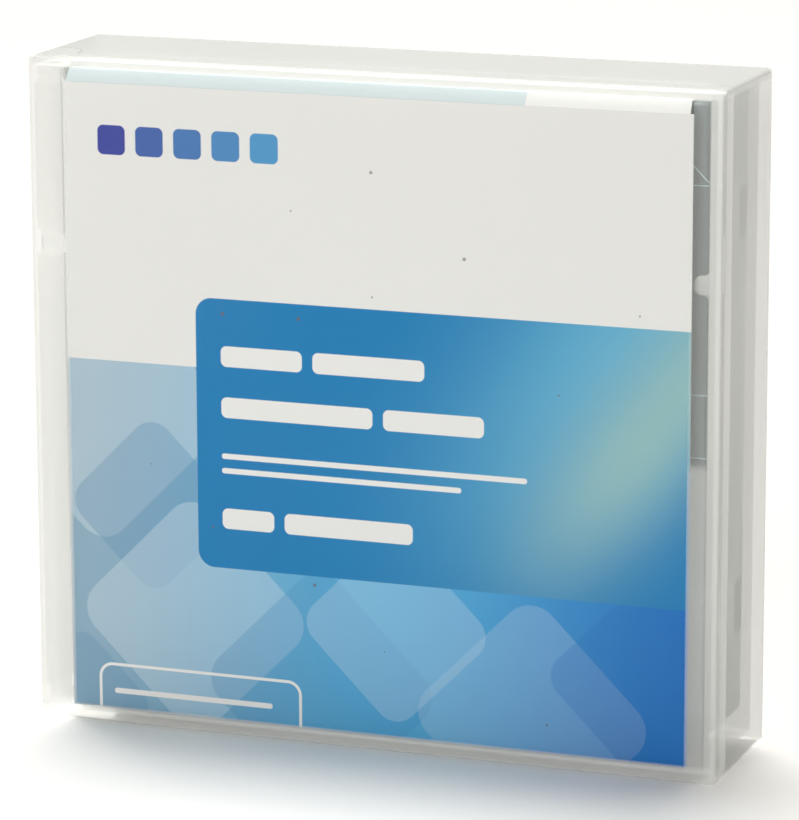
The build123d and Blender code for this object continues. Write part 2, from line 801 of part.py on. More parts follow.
# Upper shell: label recess, nose panels, brake guide post, screw bosses, door rail
socket_floor = brake_root + tooth_height + tooth_gap + brake_rim
key_tip = socket_floor + brake_travel + key_tip_gap
grip_offset = half_width - grip_length / 2
high_panel_end = half_width - panel_edge_gap
with BuildPart() as upper_shell:
    add(shell_half(split_level, split_level, False))
    with BuildSketch(reel_plane(split_level)):
        with Locations(*screw_places):
            Circle(boss_radius)
            Circle(screw_radius + screw_fit, mode=Mode.SUBTRACT)
    extrude(amount=ceiling - split_level)
    with BuildSketch(reel_plane(ceiling - ring_height)):
        add(upper_arc)
        add(lower_arc)
    extrude(amount=ring_height)
    with BuildSketch(reel_plane(ceiling - rail_height)):
        with Locations(((rail_start + opening_back) / 2, rail_low + rail_wall / 2)):
            Rectangle(opening_back - rail_start, rail_wall)
    extrude(amount=rail_height)
    with BuildSketch(reel_plane(ceiling - seat_height)):
        add(pin_seat.sketch)
    extrude(amount=seat_height)
    with BuildSketch(reel_plane(ceiling - memory_slot_height)):
        add(memory_block.sketch)
    extrude(amount=memory_slot_height)
    with BuildSketch(reel_plane(split_level)):
        with Locations((door_seat_x + door_seat_thickness / 2, door_low + tail_height / 2)):
            Rectangle(door_seat_thickness, tail_height)
    extrude(amount=ceiling - split_level)
    # Cross-shaped post that keeps the brake from turning
    with BuildSketch(reel_plane(key_tip)):
        Rectangle(key_length, key_width)
        Rectangle(key_width, key_length)
    extrude(amount=ceiling - key_tip)
    # Ring that seats the brake spring
    seat_ring = spring_radius + spring_wire / 2 + spring_seat_gap
    with BuildSketch(reel_plane(ceiling - spring_seat_height)):
        Circle(seat_ring + spring_seat_wall)
        Circle(seat_ring, mode=Mode.SUBTRACT)
    extrude(amount=spring_seat_height)
    with BuildSketch(reel_plane(split_level)):
        with Locations(((opening_front + opening_back) / 2, -half_width + shell_side / 2)):
            Rectangle(opening_length, shell_side * 2)
    extrude(amount=cart_thickness - opening_margin - split_level, mode=Mode.SUBTRACT)
    # Label recess, nose panels and insertion arrow in the outer face
    with BuildSketch(reel_plane(cart_thickness - panel_depth)):
        with Locations((tail_end + label_recess_start + label_length / 2, 0)):
            RectangleRounded(label_length, cart_width - 2 * label_recess_side, rear_radius)
        with Locations((nose - panel_length / 2, (high_panel_start + high_panel_end) / 2)):
            Rectangle(panel_length, high_panel_end - high_panel_start)
        with Locations((nose - panel_length / 2, -(low_panel_start + low_panel_end) / 2)):
            Rectangle(panel_length, low_panel_end - low_panel_start)
        with Locations((nose - panel_length / 2, -(foot_panel_end + half_width) / 2)):
            Rectangle(panel_length, half_width - foot_panel_end)
        with Locations((nose - arrow_setback, 0)):
            RegularPolygon(arrow_size, 3)
    extrude(amount=panel_depth, mode=Mode.SUBTRACT)
    # Finger grips near the tail
    with BuildSketch(reel_plane(cart_thickness - grip_depth)):
        with Locations((tail_end + grip_start + grip_pitch * (grip_count - 1) / 2, 0)):
            with GridLocations(grip_pitch, 2 * grip_offset, grip_count, 2):
                Rectangle(grip_width, grip_length)
    extrude(amount=grip_depth, mode=Mode.SUBTRACT)
    with BuildSketch(reel_plane(split_level)):
        with Locations((tail_end, rear_recess_middle)):
            Rectangle(2 * rear_recess_depth, rear_recess_length)
    extrude(amount=split_level - rear_recess_margin, mode=Mode.SUBTRACT)
    with BuildSketch(reel_plane(split_level)):
        with Locations(*notch_places):
            Rectangle(notch_length, notch_depth)
    extrude(amount=notch_height / 2, mode=Mode.SUBTRACT)
    # Raised pads on the end that goes into the drive first: a long one and a wedge
    with BuildSketch(Plane(origin=(cart_right, 0, 0), x_dir=(0, 1, 0), z_dir=(1, 0, 0))):
        pad_front = cart_front + nose_pad_top
        pad_high = cart_top - long_pad_edge
        with Locations((pad_front + long_pad_height / 2, pad_high - long_pad_length / 2)):
            Rectangle(long_pad_height, long_pad_length)
        wedge_low = cart_bottom + wedge_edge
        with BuildLine():
            Polyline(
                (pad_front, wedge_low),
                (pad_front + wedge_wide, wedge_low + wedge_edge / 2),
                (pad_front + wedge_narrow, wedge_low + wedge_length),
                (pad_front, wedge_low + wedge_length),
                close=True,
            )
        make_face()
    extrude(amount=nose_pad)
upper_shell.part.label = "upper_shell"
export_step(upper_shell.part, "parts/upper_shell.step")

# Four screws from the lower side, each with a slotted cross in its head
with BuildPart() as shell_screws:
    with BuildSketch(reel_plane(screw_sink)):
        with Locations(*screw_places):
            Circle(head_radius)
    extrude(amount=head_height)
    with BuildSketch(reel_plane(screw_sink)):
        with Locations(*screw_places):
            Circle(screw_radius)
    extrude(amount=screw_length)
    with BuildSketch(reel_plane(screw_sink)):
        with Locations(*screw_places):
            Rectangle(head_radius * 1.3, drive_slot)
            Rectangle(drive_slot, head_radius * 1.3)
    extrude(amount=drive_depth, mode=Mode.SUBTRACT)
shell_screws.part.label = "shell_screws"
export_step(shell_screws.part, "parts/shell_screws.step")


def radial_tooth(inner, outer, root, tip):
    """One tooth of a face gear, along +X of the reel plane, from its root to its tip level."""
    with BuildPart() as tooth:
        with BuildSketch(Plane.YZ.offset(inner)):
            with BuildLine():
                Polyline(
                    (-tooth_width / 2, root),
                    (tooth_width / 2, root),
                    (tooth_tip / 2, tip),
                    (-tooth_tip / 2, tip),
                    close=True,
                )
            make_face()
        extrude(amount=outer - inner)
    return tooth.part


def tooth_places(spread, shift):
    """Turned places of the teeth that lie within a spread round each arc's centre."""
    pitch = 360 / tooth_count
    places = []
    for index in range(tooth_count):
        angle = index * pitch + shift
        offsets = [abs((angle - centre + 180) % 360 - 180) for centre in arc_centres]
        if min(offsets) <= spread / 2:
            places.append(Location((0, 0, 0), (0, 0, angle)))
    return places


leg_angles = [90, 210, 330]
arc_centres = [30, 150, 270]
drive_tooth = radial_tooth(drive_ring_inner, drive_ring_outer, drive_root, drive_root - tooth_height)
hub_tooth = radial_tooth(
    brake_tooth_inner, brake_tooth_outer, brake_root, brake_root + tooth_height
)
brake_tooth = radial_tooth(
    brake_tooth_inner,
    brake_tooth_outer,
    brake_root + tooth_height + tooth_gap,
    brake_root + tooth_gap,
)
window_half_angle = math.degrees(math.asin((window_width + tooth_width) / 2 / drive_ring_inner))
drive_spread = 120 - 2 * window_half_angle
with BuildSketch() as brake_arcs:
    Circle(brake_tooth_outer + tooth_tip)
    Circle(brake_tooth_inner - tooth_tip, mode=Mode.SUBTRACT)
    for leg_angle in leg_angles:
        with PolarLocations(hub_bore / 2, 1, start_angle=leg_angle):
            Rectangle(hub_bore, 2 * brake_tooth_inner * math.sin(math.radians(60 - brake_arc_angle / 2)),
                      mode=Mode.SUBTRACT)

# Reel hub with its lower flange, drive teeth underneath and brake teeth inside
with BuildPart() as reel_hub:
    with BuildSketch(reel_plane(flange_start)):
        Circle(flange_radius)
    extrude(amount=flange_thickness)
    with BuildSketch(reel_plane(flange_start)):
        Circle(hub_radius)
    extrude(amount=flange_thickness + tape_space)
    with BuildSketch(reel_plane(web_top)):
        Circle(hub_bore)
    extrude(amount=case_depth, mode=Mode.SUBTRACT)
    with BuildSketch(reel_plane(shell_plate + land_gap)):
        Circle(land_outer)
        Circle(land_inner, mode=Mode.SUBTRACT)
    extrude(amount=flange_start - shell_plate - land_gap)
    with BuildSketch(reel_plane(drive_root)):
        Circle(drive_ring_outer + tooth_tip)
        Circle(drive_ring_inner - tooth_tip, mode=Mode.SUBTRACT)
    extrude(amount=flange_start - drive_root)
    with BuildSketch(reel_plane(web_top)):
        add(brake_arcs.sketch)
    extrude(amount=brake_root - web_top)
    with BuildSketch(reel_plane(flange_start - disc_thickness)):
        with PolarLocations(stud_ring, 3):
            Circle(stud_radius)
    extrude(amount=disc_thickness)
    with Locations(reel_plane(0)):
        with Locations(*tooth_places(drive_spread, 180 / tooth_count)):
            add(drive_tooth)
        with Locations(*tooth_places(brake_arc_angle, 180 / tooth_count)):
            add(hub_tooth)
    # Windows that the legs of the release plate reach through
    with BuildSketch(reel_plane(drive_root)):
        with PolarLocations((window_inner + window_outer) / 2, 3, start_angle=leg_angles[0]):
            Rectangle(window_outer - window_inner, window_width)
    extrude(amount=web_top - drive_root, mode=Mode.SUBTRACT)
reel_hub.part.label = "reel_hub"
export_step(reel_hub.part, "parts/reel_hub.step")

# Upper flange, welded on top of the hub
with BuildPart() as reel_flange:
    with BuildSketch(reel_plane(upper_flange_start)):
        Circle(flange_radius)
        Circle(collar_radius - collar_wall, mode=Mode.SUBTRACT)
    extrude(amount=flange_thickness)
    with BuildSketch(reel_plane(upper_flange_start - collar_height)):
        Circle(collar_radius)
        Circle(collar_radius - collar_wall, mode=Mode.SUBTRACT)
    extrude(amount=collar_height)
reel_flange.part.label = "reel_flange"
export_step(reel_flange.part, "parts/reel_flange.step")

# Steel disc that the drive's magnet holds, riveted by three studs of the hub
with BuildPart() as reel_disc:
    with BuildSketch(reel_plane(flange_start - disc_thickness)):
        Circle(disc_radius)
        Circle(disc_bore, mode=Mode.SUBTRACT)
        with PolarLocations(stud_ring, 3):
            Circle(stud_radius + stud_fit, mode=Mode.SUBTRACT)
    extrude(amount=disc_thickness)
reel_disc.part.label = "reel_disc"
export_step(reel_disc.part, "parts/reel_disc.step")

# Wound cleaning tape
with BuildPart() as tape_pack:
    with BuildSketch(reel_plane(mid_level - tape_width / 2)):
        Circle(pack_radius)
        Circle(hub_radius + pack_fit, mode=Mode.SUBTRACT)
    extrude(amount=tape_width)
tape_pack.part.label = "tape_pack"
export_step(tape_pack.part, "parts/tape_pack.step")

# Release plate: three arms, with legs that the drive pushes from below
release_top = web_top + release_gap + release_thickness
with BuildPart() as release_plate:
    with BuildSketch(reel_plane(web_top + release_gap)):
        Circle(release_centre)
        with PolarLocations(arm_reach / 2, 3, start_angle=leg_angles[0]):
            Rectangle(arm_reach, arm_width)
    extrude(amount=release_thickness)
    with BuildSketch(reel_plane(leg_foot)):
        with PolarLocations((leg_inner + arm_reach) / 2, 3, start_angle=leg_angles[0]):
            Rectangle(arm_reach - leg_inner, arm_width)
    extrude(amount=web_top + release_gap - leg_foot)
    with BuildSketch(reel_plane(release_top)):
        Circle(release_dome)
    extrude(amount=release_dome_height)
release_plate.part.label = "release_plate"
export_step(release_plate.part, "parts/release_plate.step")

# Brake button: toothed rim below, keyed socket above
brake_bottom = brake_root + tooth_height + tooth_gap
socket_height = ceiling - socket_floor - brake_travel - socket_headroom
boss_foot = release_top + release_dome_height + release_dome_gap
with BuildPart() as brake_button:
    with BuildSketch(reel_plane(brake_bottom)):
        Circle(brake_disc_radius)
    extrude(amount=brake_rim)
    with BuildSketch(reel_plane(brake_bottom)):
        Circle(brake_ring_inner)
    extrude(amount=brake_rim - brake_web, mode=Mode.SUBTRACT)
    with BuildSketch(reel_plane(boss_foot)):
        Circle(brake_boss_radius)
    extrude(amount=socket_floor - boss_foot)
    with BuildSketch(reel_plane(socket_floor)):
        Circle(socket_radius)
        Rectangle(key_length + 2 * key_fit, key_width + 2 * key_fit, mode=Mode.SUBTRACT)
        Rectangle(key_width + 2 * key_fit, key_length + 2 * key_fit, mode=Mode.SUBTRACT)
    extrude(amount=socket_height)
    with Locations(reel_plane(0)):
        with PolarLocations(0, tooth_count):
            add(brake_tooth)
brake_button.part.label = "brake_button"
export_step(brake_button.part, "parts/brake_button.step")

# Brake spring between the brake and the upper shell
spring_low = socket_floor + spring_gap + spring_wire / 2
spring_high = ceiling - spring_gap - spring_wire / 2
with BuildPart() as brake_spring:
    with BuildLine() as brake_coil:
        Helix(
            (spring_high - spring_low) / spring_turns,
            spring_high - spring_low,
            spring_radius,
            center=(reel_x, cart_back - spring_low, reel_z),
            direction=(0, -1, 0),
        )
    with BuildSketch(Plane(origin=brake_coil.line @ 0, z_dir=brake_coil.line % 0)):
        Circle(spring_wire / 2)
    sweep(path=brake_coil.line, is_frenet=True)
brake_spring.part.label = "brake_spring"
export_step(brake_spring.part, "parts/brake_spring.step")

# Sliding access door with a tail for its spring
with BuildPart() as cartridge_door:
    with BuildSketch(reel_plane(shell_plate + door_edge_gap)):
        with Locations(((door_front + door_back) / 2, (door_low + door_high) / 2)):
            Rectangle(door_length, door_thickness)
    extrude(amount=ceiling - shell_plate - 2 * door_edge_gap)
    with BuildSketch(reel_plane(split_level - tail_width / 2)):
        with Locations((tail_back + tail_length / 2, door_low + tail_height / 2)):
            Rectangle(tail_length, tail_height)
    extrude(amount=tail_width)
    # Shallow grooves across the outer face
    with BuildSketch(reel_plane(shell_plate)):
        with Locations(((opening_front + opening_back) / 2, door_low)):
            with GridLocations(grip_pitch, 0, door_ridge_count, 1):
                Rectangle(grip_width, 2 * door_ridge)
    extrude(amount=ceiling, mode=Mode.SUBTRACT)
cartridge_door.part.label = "cartridge_door"
export_step(cartridge_door.part, "parts/cartridge_door.step")

# Door spring between its seat and the tail of the door
coil_start = door_seat_x + door_seat_thickness + spring_gap + door_spring_wire / 2
coil_end = tail_back - spring_gap - door_spring_wire / 2
with BuildPart() as door_spring:
    with BuildLine() as door_coil:
        Helix(
            (coil_end - coil_start) / door_spring_turns,
            coil_end - coil_start,
            door_spring_radius - door_spring_wire / 2,
            center=(reel_x + coil_start, cart_back - split_level, reel_z + spring_axis_z),
            direction=(1, 0, 0),
        )
    with BuildSketch(Plane(origin=door_coil.line @ 0, z_dir=door_coil.line % 0)):
        Circle(door_spring_wire / 2)
    sweep(path=door_coil.line, is_frenet=True)
door_spring.part.label = "door_spring"
export_step(door_spring.part, "parts/door_spring.step")

# Leader pin: two end discs, grooves and flanges on a thin core
pin_bottom = shell_plate + leader_end_gap
pin_top = ceiling - leader_end_gap
pin_steps = [
    (0, leader_disc, leader_disc_radius),
    (leader_disc, leader_groove, leader_groove_radius),
    (leader_disc + leader_groove, leader_flange, leader_flange_radius),
]
with BuildPart() as leader_pin:
    with BuildSketch(reel_plane(pin_bottom)):
        with Locations((pin_x, pin_z)):
            Circle(leader_core_radius)
    extrude(amount=pin_top - pin_bottom)
    for step_start, step_height, step_radius in pin_steps:
        with BuildSketch(reel_plane(pin_bottom + step_start)):
            with Locations((pin_x, pin_z)):
                Circle(step_radius)
        extrude(amount=step_height)
        with BuildSketch(reel_plane(pin_top - step_start - step_height)):
            with Locations((pin_x, pin_z)):
                Circle(step_radius)
        extrude(amount=step_height)
leader_pin.part.label = "leader_pin"
export_step(leader_pin.part, "parts/leader_pin.step")

# Run of tape from the pack to the pin, tangent to the pack
pin_distance = math.hypot(pin_x, pin_z)
run_radius = pack_radius + 2 * tape_thickness
run_angle = math.degrees(math.atan2(-pin_z, -pin_x) + math.asin(run_radius / pin_distance))
run_length = math.sqrt(pin_distance**2 - run_radius**2)
tape_direction = (math.cos(math.radians(run_angle)), math.sin(math.radians(run_angle)))
run_start = leader_core_radius + tape_thickness

# Clip that snaps round the core and holds the end of the tape
with BuildPart() as pin_clip:
    with BuildSketch(reel_plane(mid_level - tape_width / 2)):
        with Locations((pin_x, pin_z)):
            Circle(clip_radius)
            Circle(leader_core_radius + clip_fit, mode=Mode.SUBTRACT)
        with BuildLine(mode=Mode.PRIVATE) as slot_sides:
            slot_reach = 2 * clip_radius
            Polyline(
                (pin_x, pin_z),
                (
                    pin_x + slot_reach * math.cos(math.radians(run_angle - clip_slot_angle / 2)),
                    pin_z + slot_reach * math.sin(math.radians(run_angle - clip_slot_angle / 2)),
                ),
                (
                    pin_x + slot_reach * math.cos(math.radians(run_angle + clip_slot_angle / 2)),
                    pin_z + slot_reach * math.sin(math.radians(run_angle + clip_slot_angle / 2)),
                ),
                close=True,
            )
        make_face(slot_sides.line.edges(), mode=Mode.SUBTRACT)
    extrude(amount=tape_width)
pin_clip.part.label = "leader_pin_clip"
export_step(pin_clip.part, "parts/leader_pin_clip.step")

with BuildPart() as leader_tape:
    with BuildSketch(reel_plane(mid_level - tape_width / 2)):
        with BuildLine():
            Line(
                (pin_x + run_start * tape_direction[0], pin_z + run_start * tape_direction[1]),
                (pin_x + run_length * tape_direction[0], pin_z + run_length * tape_direction[1]),
            )
        trace(line_width=tape_thickness)
    extrude(amount=tape_width)
leader_tape.part.label = "leader_tape"
export_step(leader_tape.part, "parts/leader_tape.step")

# Leaf spring that keeps the pin in its seats: one strip with two arms under the end discs
leaf_x = nose - shell_side - leaf_gap - leaf_thickness / 2
arm_z = pin_z - leader_disc_radius - leaf_gap - leaf_thickness / 2
leaf_bend = arm_z + nose_chamfer / 2
with BuildPart() as leader_spring:
    with BuildSketch(reel_plane(pin_bottom)):
        with BuildLine():
            Line((leaf_x, leaf_bend), (leaf_x, pin_z + leaf_rise - leader_disc_radius))
        trace(line_width=leaf_thickness)
    extrude(amount=pin_top - pin_bottom)
    with BuildSketch(reel_plane(pin_bottom), reel_plane(pin_top - leader_disc)):
        with BuildLine():
            Polyline(
                (leaf_x, leaf_bend + leaf_thickness),
                (leaf_x, leaf_bend),
                (leaf_x - nose_chamfer / 2, arm_z),
                (pin_x - leaf_tip / 2, arm_z),
                (pin_x - leaf_tip, arm_z + leaf_thickness),
            )
        trace(line_width=leaf_thickness)
    extrude(amount=leader_disc)
leader_spring.part.label = "leader_pin_spring"
export_step(leader_spring.part, "parts/leader_pin_spring.step")

# Write-protect switch: thumb piece in the window, plate behind the wall
switch_inner = tail_end + shell_side + switch_gap
thumb_place = switch_offset - switch_travel / 2
with BuildPart() as protect_switch:
    with BuildSketch(reel_plane(switch_window_low + switch_gap)):
        with Locations((switch_inner + switch_plate / 2, thumb_place)):
            Rectangle(switch_plate, switch_body)
        with Locations(((tail_end + switch_recess + switch_inner) / 2, thumb_place)):
            Rectangle(switch_inner - tail_end - switch_recess, switch_thumb)
        with Locations((tail_end + switch_recess, thumb_place)):
            with GridLocations(0, switch_thumb / 3, 1, 3):
                Circle(switch_ridge, mode=Mode.SUBTRACT)
    extrude(amount=switch_window_high - switch_window_low - 2 * switch_gap)
protect_switch.part.label = "write_protect_switch"
export_step(protect_switch.part, "parts/write_protect_switch.step")

# Memory module: small board with a moulded chip, across the corner behind the label
with BuildPart() as memory_module:
    with BuildSketch(reel_plane(shell_plate + memory_end_gap)):
        with Locations(Location(memory_place, -45)):
            Rectangle(memory_width, memory_thickness)
    extrude(amount=ceiling - shell_plate - 2 * memory_end_gap)
    with BuildSketch(reel_plane(split_level - memory_chip / 2)):
        with Locations(Location(memory_place, -45)):
            with Locations((0, (memory_thickness + memory_chip_height) / 2)):
                Rectangle(memory_chip, memory_chip_height)
    extrude(amount=memory_chip)
memory_module.part.label = "memory_module"
export_step(memory_module.part, "parts/memory_module.step")
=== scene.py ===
"""Looks for a cleaning tape cartridge in its milky hinged storage case.

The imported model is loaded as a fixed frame, in metres. The operators below give every part its
finish and set the studio round it.
"""

import math

import bpy
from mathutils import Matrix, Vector


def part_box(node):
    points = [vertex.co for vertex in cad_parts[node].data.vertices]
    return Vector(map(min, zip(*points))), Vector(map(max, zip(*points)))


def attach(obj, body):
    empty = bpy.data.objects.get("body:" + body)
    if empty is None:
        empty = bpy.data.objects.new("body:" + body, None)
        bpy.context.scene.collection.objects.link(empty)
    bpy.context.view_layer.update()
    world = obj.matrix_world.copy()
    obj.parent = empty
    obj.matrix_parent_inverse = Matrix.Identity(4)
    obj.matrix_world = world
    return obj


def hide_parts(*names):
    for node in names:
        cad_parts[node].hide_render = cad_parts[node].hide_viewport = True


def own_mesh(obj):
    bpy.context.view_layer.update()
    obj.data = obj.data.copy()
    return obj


bl_info = {
    "name": "Cleaning Cartridge Looks",
    "version": (1, 0, 0),
    "blender": (4, 5, 0),
    "location": "View3D > Sidebar > Cartridge",
    "description": "Finishes a tape cleaning cartridge in its hinged storage case",
    "category": "Object",
}

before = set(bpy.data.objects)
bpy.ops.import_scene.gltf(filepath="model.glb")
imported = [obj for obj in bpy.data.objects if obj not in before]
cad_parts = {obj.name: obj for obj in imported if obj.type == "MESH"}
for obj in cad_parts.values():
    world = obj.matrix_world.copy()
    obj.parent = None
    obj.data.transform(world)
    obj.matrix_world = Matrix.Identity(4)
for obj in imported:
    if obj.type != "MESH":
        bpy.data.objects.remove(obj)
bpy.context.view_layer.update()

MM = 0.001
CARD_LOW, CARD_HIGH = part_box("inlay_card")
DISC_LOW, DISC_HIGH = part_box("reel_disc")
BASE_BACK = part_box("case_base")[1][1]
LID_LOW, LID_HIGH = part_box("case_lid")
SHELL_LOW, SHELL_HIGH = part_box("upper_shell")
REEL_X = (DISC_LOW[0] + DISC_HIGH[0]) / 2
REEL_Z = (DISC_LOW[2] + DISC_HIGH[2]) / 2

# Heights at which the card and the milky plastic change
CARD_FOLD = 106.0 * MM
WINDOW_TOP = 108.35 * MM
SCUFF_TOP = 51.8 * MM
FOOT_FADE_TOP = 80.0 * MM

# Thickness of the case's front and back plates, and where the shell's bare strip starts
PLATE = 1.6 * MM
STRIP_START = 42.0 * MM

# Bright lines across the upper shell's bare strip, in mm above its middle
BRIGHT_LINE_RISES = (39.95, 7.0, -3.0, -26.0, -43.4)

# Turned tiles of the lower field: centre X and Z, size and corner in mm, tone, share of the tone
TILE_TURN = math.radians(45)
TILES = (
    (-47, 53, 34, 5.0, "lighter", 0.3),
    (-38, 37, 22, 4.0, "darker", 0.45),
    (-31, 19, 30, 5.0, "lighter", 0.28),
    (-9, 9, 30, 5.0, "darker", 0.4),
    (4, 20, 24, 4.0, "lighter", 0.2),
    (27, 7, 30, 5.0, "lighter", 0.16),
    (47, 15, 26, 4.0, "darker", 0.35),
    (-51, 3, 18, 3.0, "darker", 0.4),
)
LIGHTER_TINT = (0.62, 0.72, 0.8)
DARKER_TINT = (0.55, 0.72, 0.86)

# Plain bars in the panel: left, foot, width and height in mm
BARS = (
    (-25.8, 61.0, 14.0, 3.4),
    (-10.0, 61.0, 19.0, 3.4),
    (-25.8, 52.6, 26.0, 3.4),
    (2.0, 52.6, 17.0, 3.4),
    (-25.8, 45.8, 52.0, 0.9),
    (-25.8, 43.4, 41.0, 0.9),
    (-25.8, 34.2, 9.0, 3.4),
    (-15.0, 34.2, 22.0, 3.4),
)

# Row of squares in the white field, in mm
SQUARE_COUNT = 5
SQUARE_LEFT = -46.8
SQUARE_FOOT = 94.4
SQUARE_SIZE = 4.8
SQUARE_PITCH = 6.6

# Outline tab at the card's foot and the line in it: left, foot, width and height in mm
TAB = (-47.9, -4.0, 35.4, 13.5)
TAB_LINE = (-45.4, 4.6, 28.0, 0.9)

# Direction of the panel's glow in degrees, the blue round it, and the colour of dust
GLOW_TURN = 52
HALO_BLUE = (0.12, 0.43, 0.66)
DUST = (0.16, 0.14, 0.13)

# The studio's colours and the camera's sensor in millimetres
FLOOR_WHITE = (0.95, 0.94, 0.92, 1.0)
ROOM_WHITE = (1.0, 0.985, 0.94, 1.0)
LAMP_WHITE = (1.0, 0.99, 0.96)
SENSOR_WIDTH = 36.0


# Sizes and colours that a user would change


class CaseLook(bpy.types.PropertyGroup):
    """The milky plastic of the lid and the base"""

    tint: bpy.props.FloatVectorProperty(
        name="Tint",
        description="Colour of the milky plastic",
        subtype="COLOR",
        size=3,
        min=0.0,
        max=1.0,
        default=(0.85, 0.858, 0.842),
    )
    window_haze: bpy.props.FloatProperty(
        name="Window haze",
        description="How much the front plate hides where the card lies against it",
        subtype="FACTOR",
        min=0.0,
        max=1.0,
        default=0.0,
    )
    plate_haze: bpy.props.FloatProperty(
        name="Plate haze",
        description="How much the front plate hides beside the card",
        subtype="FACTOR",
        min=0.0,
        max=1.0,
        default=0.14,
    )
    scuff_haze: bpy.props.FloatProperty(
        name="Scuff haze",
        description="How much the front plate hides beside the lower half of the card",
        subtype="FACTOR",
        min=0.0,
        max=1.0,
        default=0.3,
    )
    border_haze: bpy.props.FloatProperty(
        name="Border haze",
        description="How much the matt border of the front plate hides",
        subtype="FACTOR",
        min=0.0,
        max=1.0,
        default=0.4,
    )
    back_haze: bpy.props.FloatProperty(
        name="Back haze",
        description="How much the back plate hides",
        subtype="FACTOR",
        min=0.0,
        max=1.0,
        default=0.42,
    )
    roof_haze: bpy.props.FloatProperty(
        name="Roof haze",
        description="How much the top walls hide",
        subtype="FACTOR",
        min=0.0,
        max=1.0,
        default=0.84,
    )
    wall_haze: bpy.props.FloatProperty(
        name="Wall haze",
        description="How much the side walls hide at their upper end",
        subtype="FACTOR",
        min=0.0,
        max=1.0,
        default=0.6,
    )
    foot_haze: bpy.props.FloatProperty(
        name="Foot haze",
        description="How much the side walls hide at their foot",
        subtype="FACTOR",
        min=0.0,
        max=1.0,
        default=0.42,
    )
    gloss: bpy.props.FloatProperty(
        name="Roughness",
        description="Roughness of the moulded surface",
        subtype="FACTOR",
        min=0.0,
        max=1.0,
        default=0.24,
    )


class CardPrint(bpy.types.PropertyGroup):
    """The inks and the layout of the printed card"""

    paper: bpy.props.FloatVectorProperty(
        name="Paper",
        description="Colour of the bare card",
        subtype="COLOR",
        size=3,
        min=0.0,
        max=1.0,
        default=(0.82, 0.825, 0.82),
    )
    pale: bpy.props.FloatVectorProperty(
        name="Pale blue",
        description="Lower field at its left end",
        subtype="COLOR",
        size=3,
        min=0.0,
        max=1.0,
        default=(0.285, 0.43, 0.545),
    )
    middle: bpy.props.FloatVectorProperty(
        name="Middle blue",
        description="Lower field half-way across",
        subtype="COLOR",
        size=3,
        min=0.0,
        max=1.0,
        default=(0.1, 0.44, 0.74),
    )
    deep: bpy.props.FloatVectorProperty(
        name="Deep blue",
        description="Lower field at its right end",
        subtype="COLOR",
        size=3,
        min=0.0,
        max=1.0,
        default=(0.017, 0.185, 0.56),
    )
    panel: bpy.props.FloatVectorProperty(
        name="Panel blue",
        description="Large panel",
        subtype="COLOR",
        size=3,
        min=0.0,
        max=1.0,
        default=(0.016, 0.212, 0.49),
    )
    glow: bpy.props.FloatVectorProperty(
        name="Glow",
        description="Pale streak across the panel",
        subtype="COLOR",
        size=3,
        min=0.0,
        max=1.0,
        default=(0.29, 0.52, 0.55),
    )
    flap: bpy.props.FloatVectorProperty(
        name="Flap",
        description="Flap that is folded back over the cartridge",
        subtype="COLOR",
        size=3,
        min=0.0,
        max=1.0,
        default=(0.6, 0.68, 0.7),
    )
    mark: bpy.props.FloatVectorProperty(
        name="Mark blue",
        description="First of the small squares in the white field",
        subtype="COLOR",
        size=3,
        min=0.0,
        max=1.0,
        default=(0.055, 0.075, 0.36),
    )
    field_top: bpy.props.FloatProperty(
        name="Field top",
        description="Height of the lower field's upper edge",
        subtype="DISTANCE",
        unit="LENGTH",
        default=60.6 * MM,
    )
    panel_left: bpy.props.FloatProperty(
        name="Panel left",
        description="Left edge of the panel",
        subtype="DISTANCE",
        unit="LENGTH",
        default=-30.1 * MM,
    )
    panel_top: bpy.props.FloatProperty(
        name="Panel top",
        description="Upper edge of the panel",
        subtype="DISTANCE",
        unit="LENGTH",
        default=72.1 * MM,
    )
    panel_foot: bpy.props.FloatProperty(
        name="Panel foot",
        description="Lower edge of the panel",
        subtype="DISTANCE",
        unit="LENGTH",
        default=27.6 * MM,
    )
    flap_end: bpy.props.FloatProperty(
        name="Flap end",
        description="Right end of the flap's colour",
        subtype="DISTANCE",
        unit="LENGTH",
        default=25.6 * MM,
    )
    panel_corner: bpy.props.FloatProperty(
        name="Panel corner",
        description="Corner radius of the panel",
        subtype="DISTANCE",
        unit="LENGTH",
        default=2.8 * MM,
    )


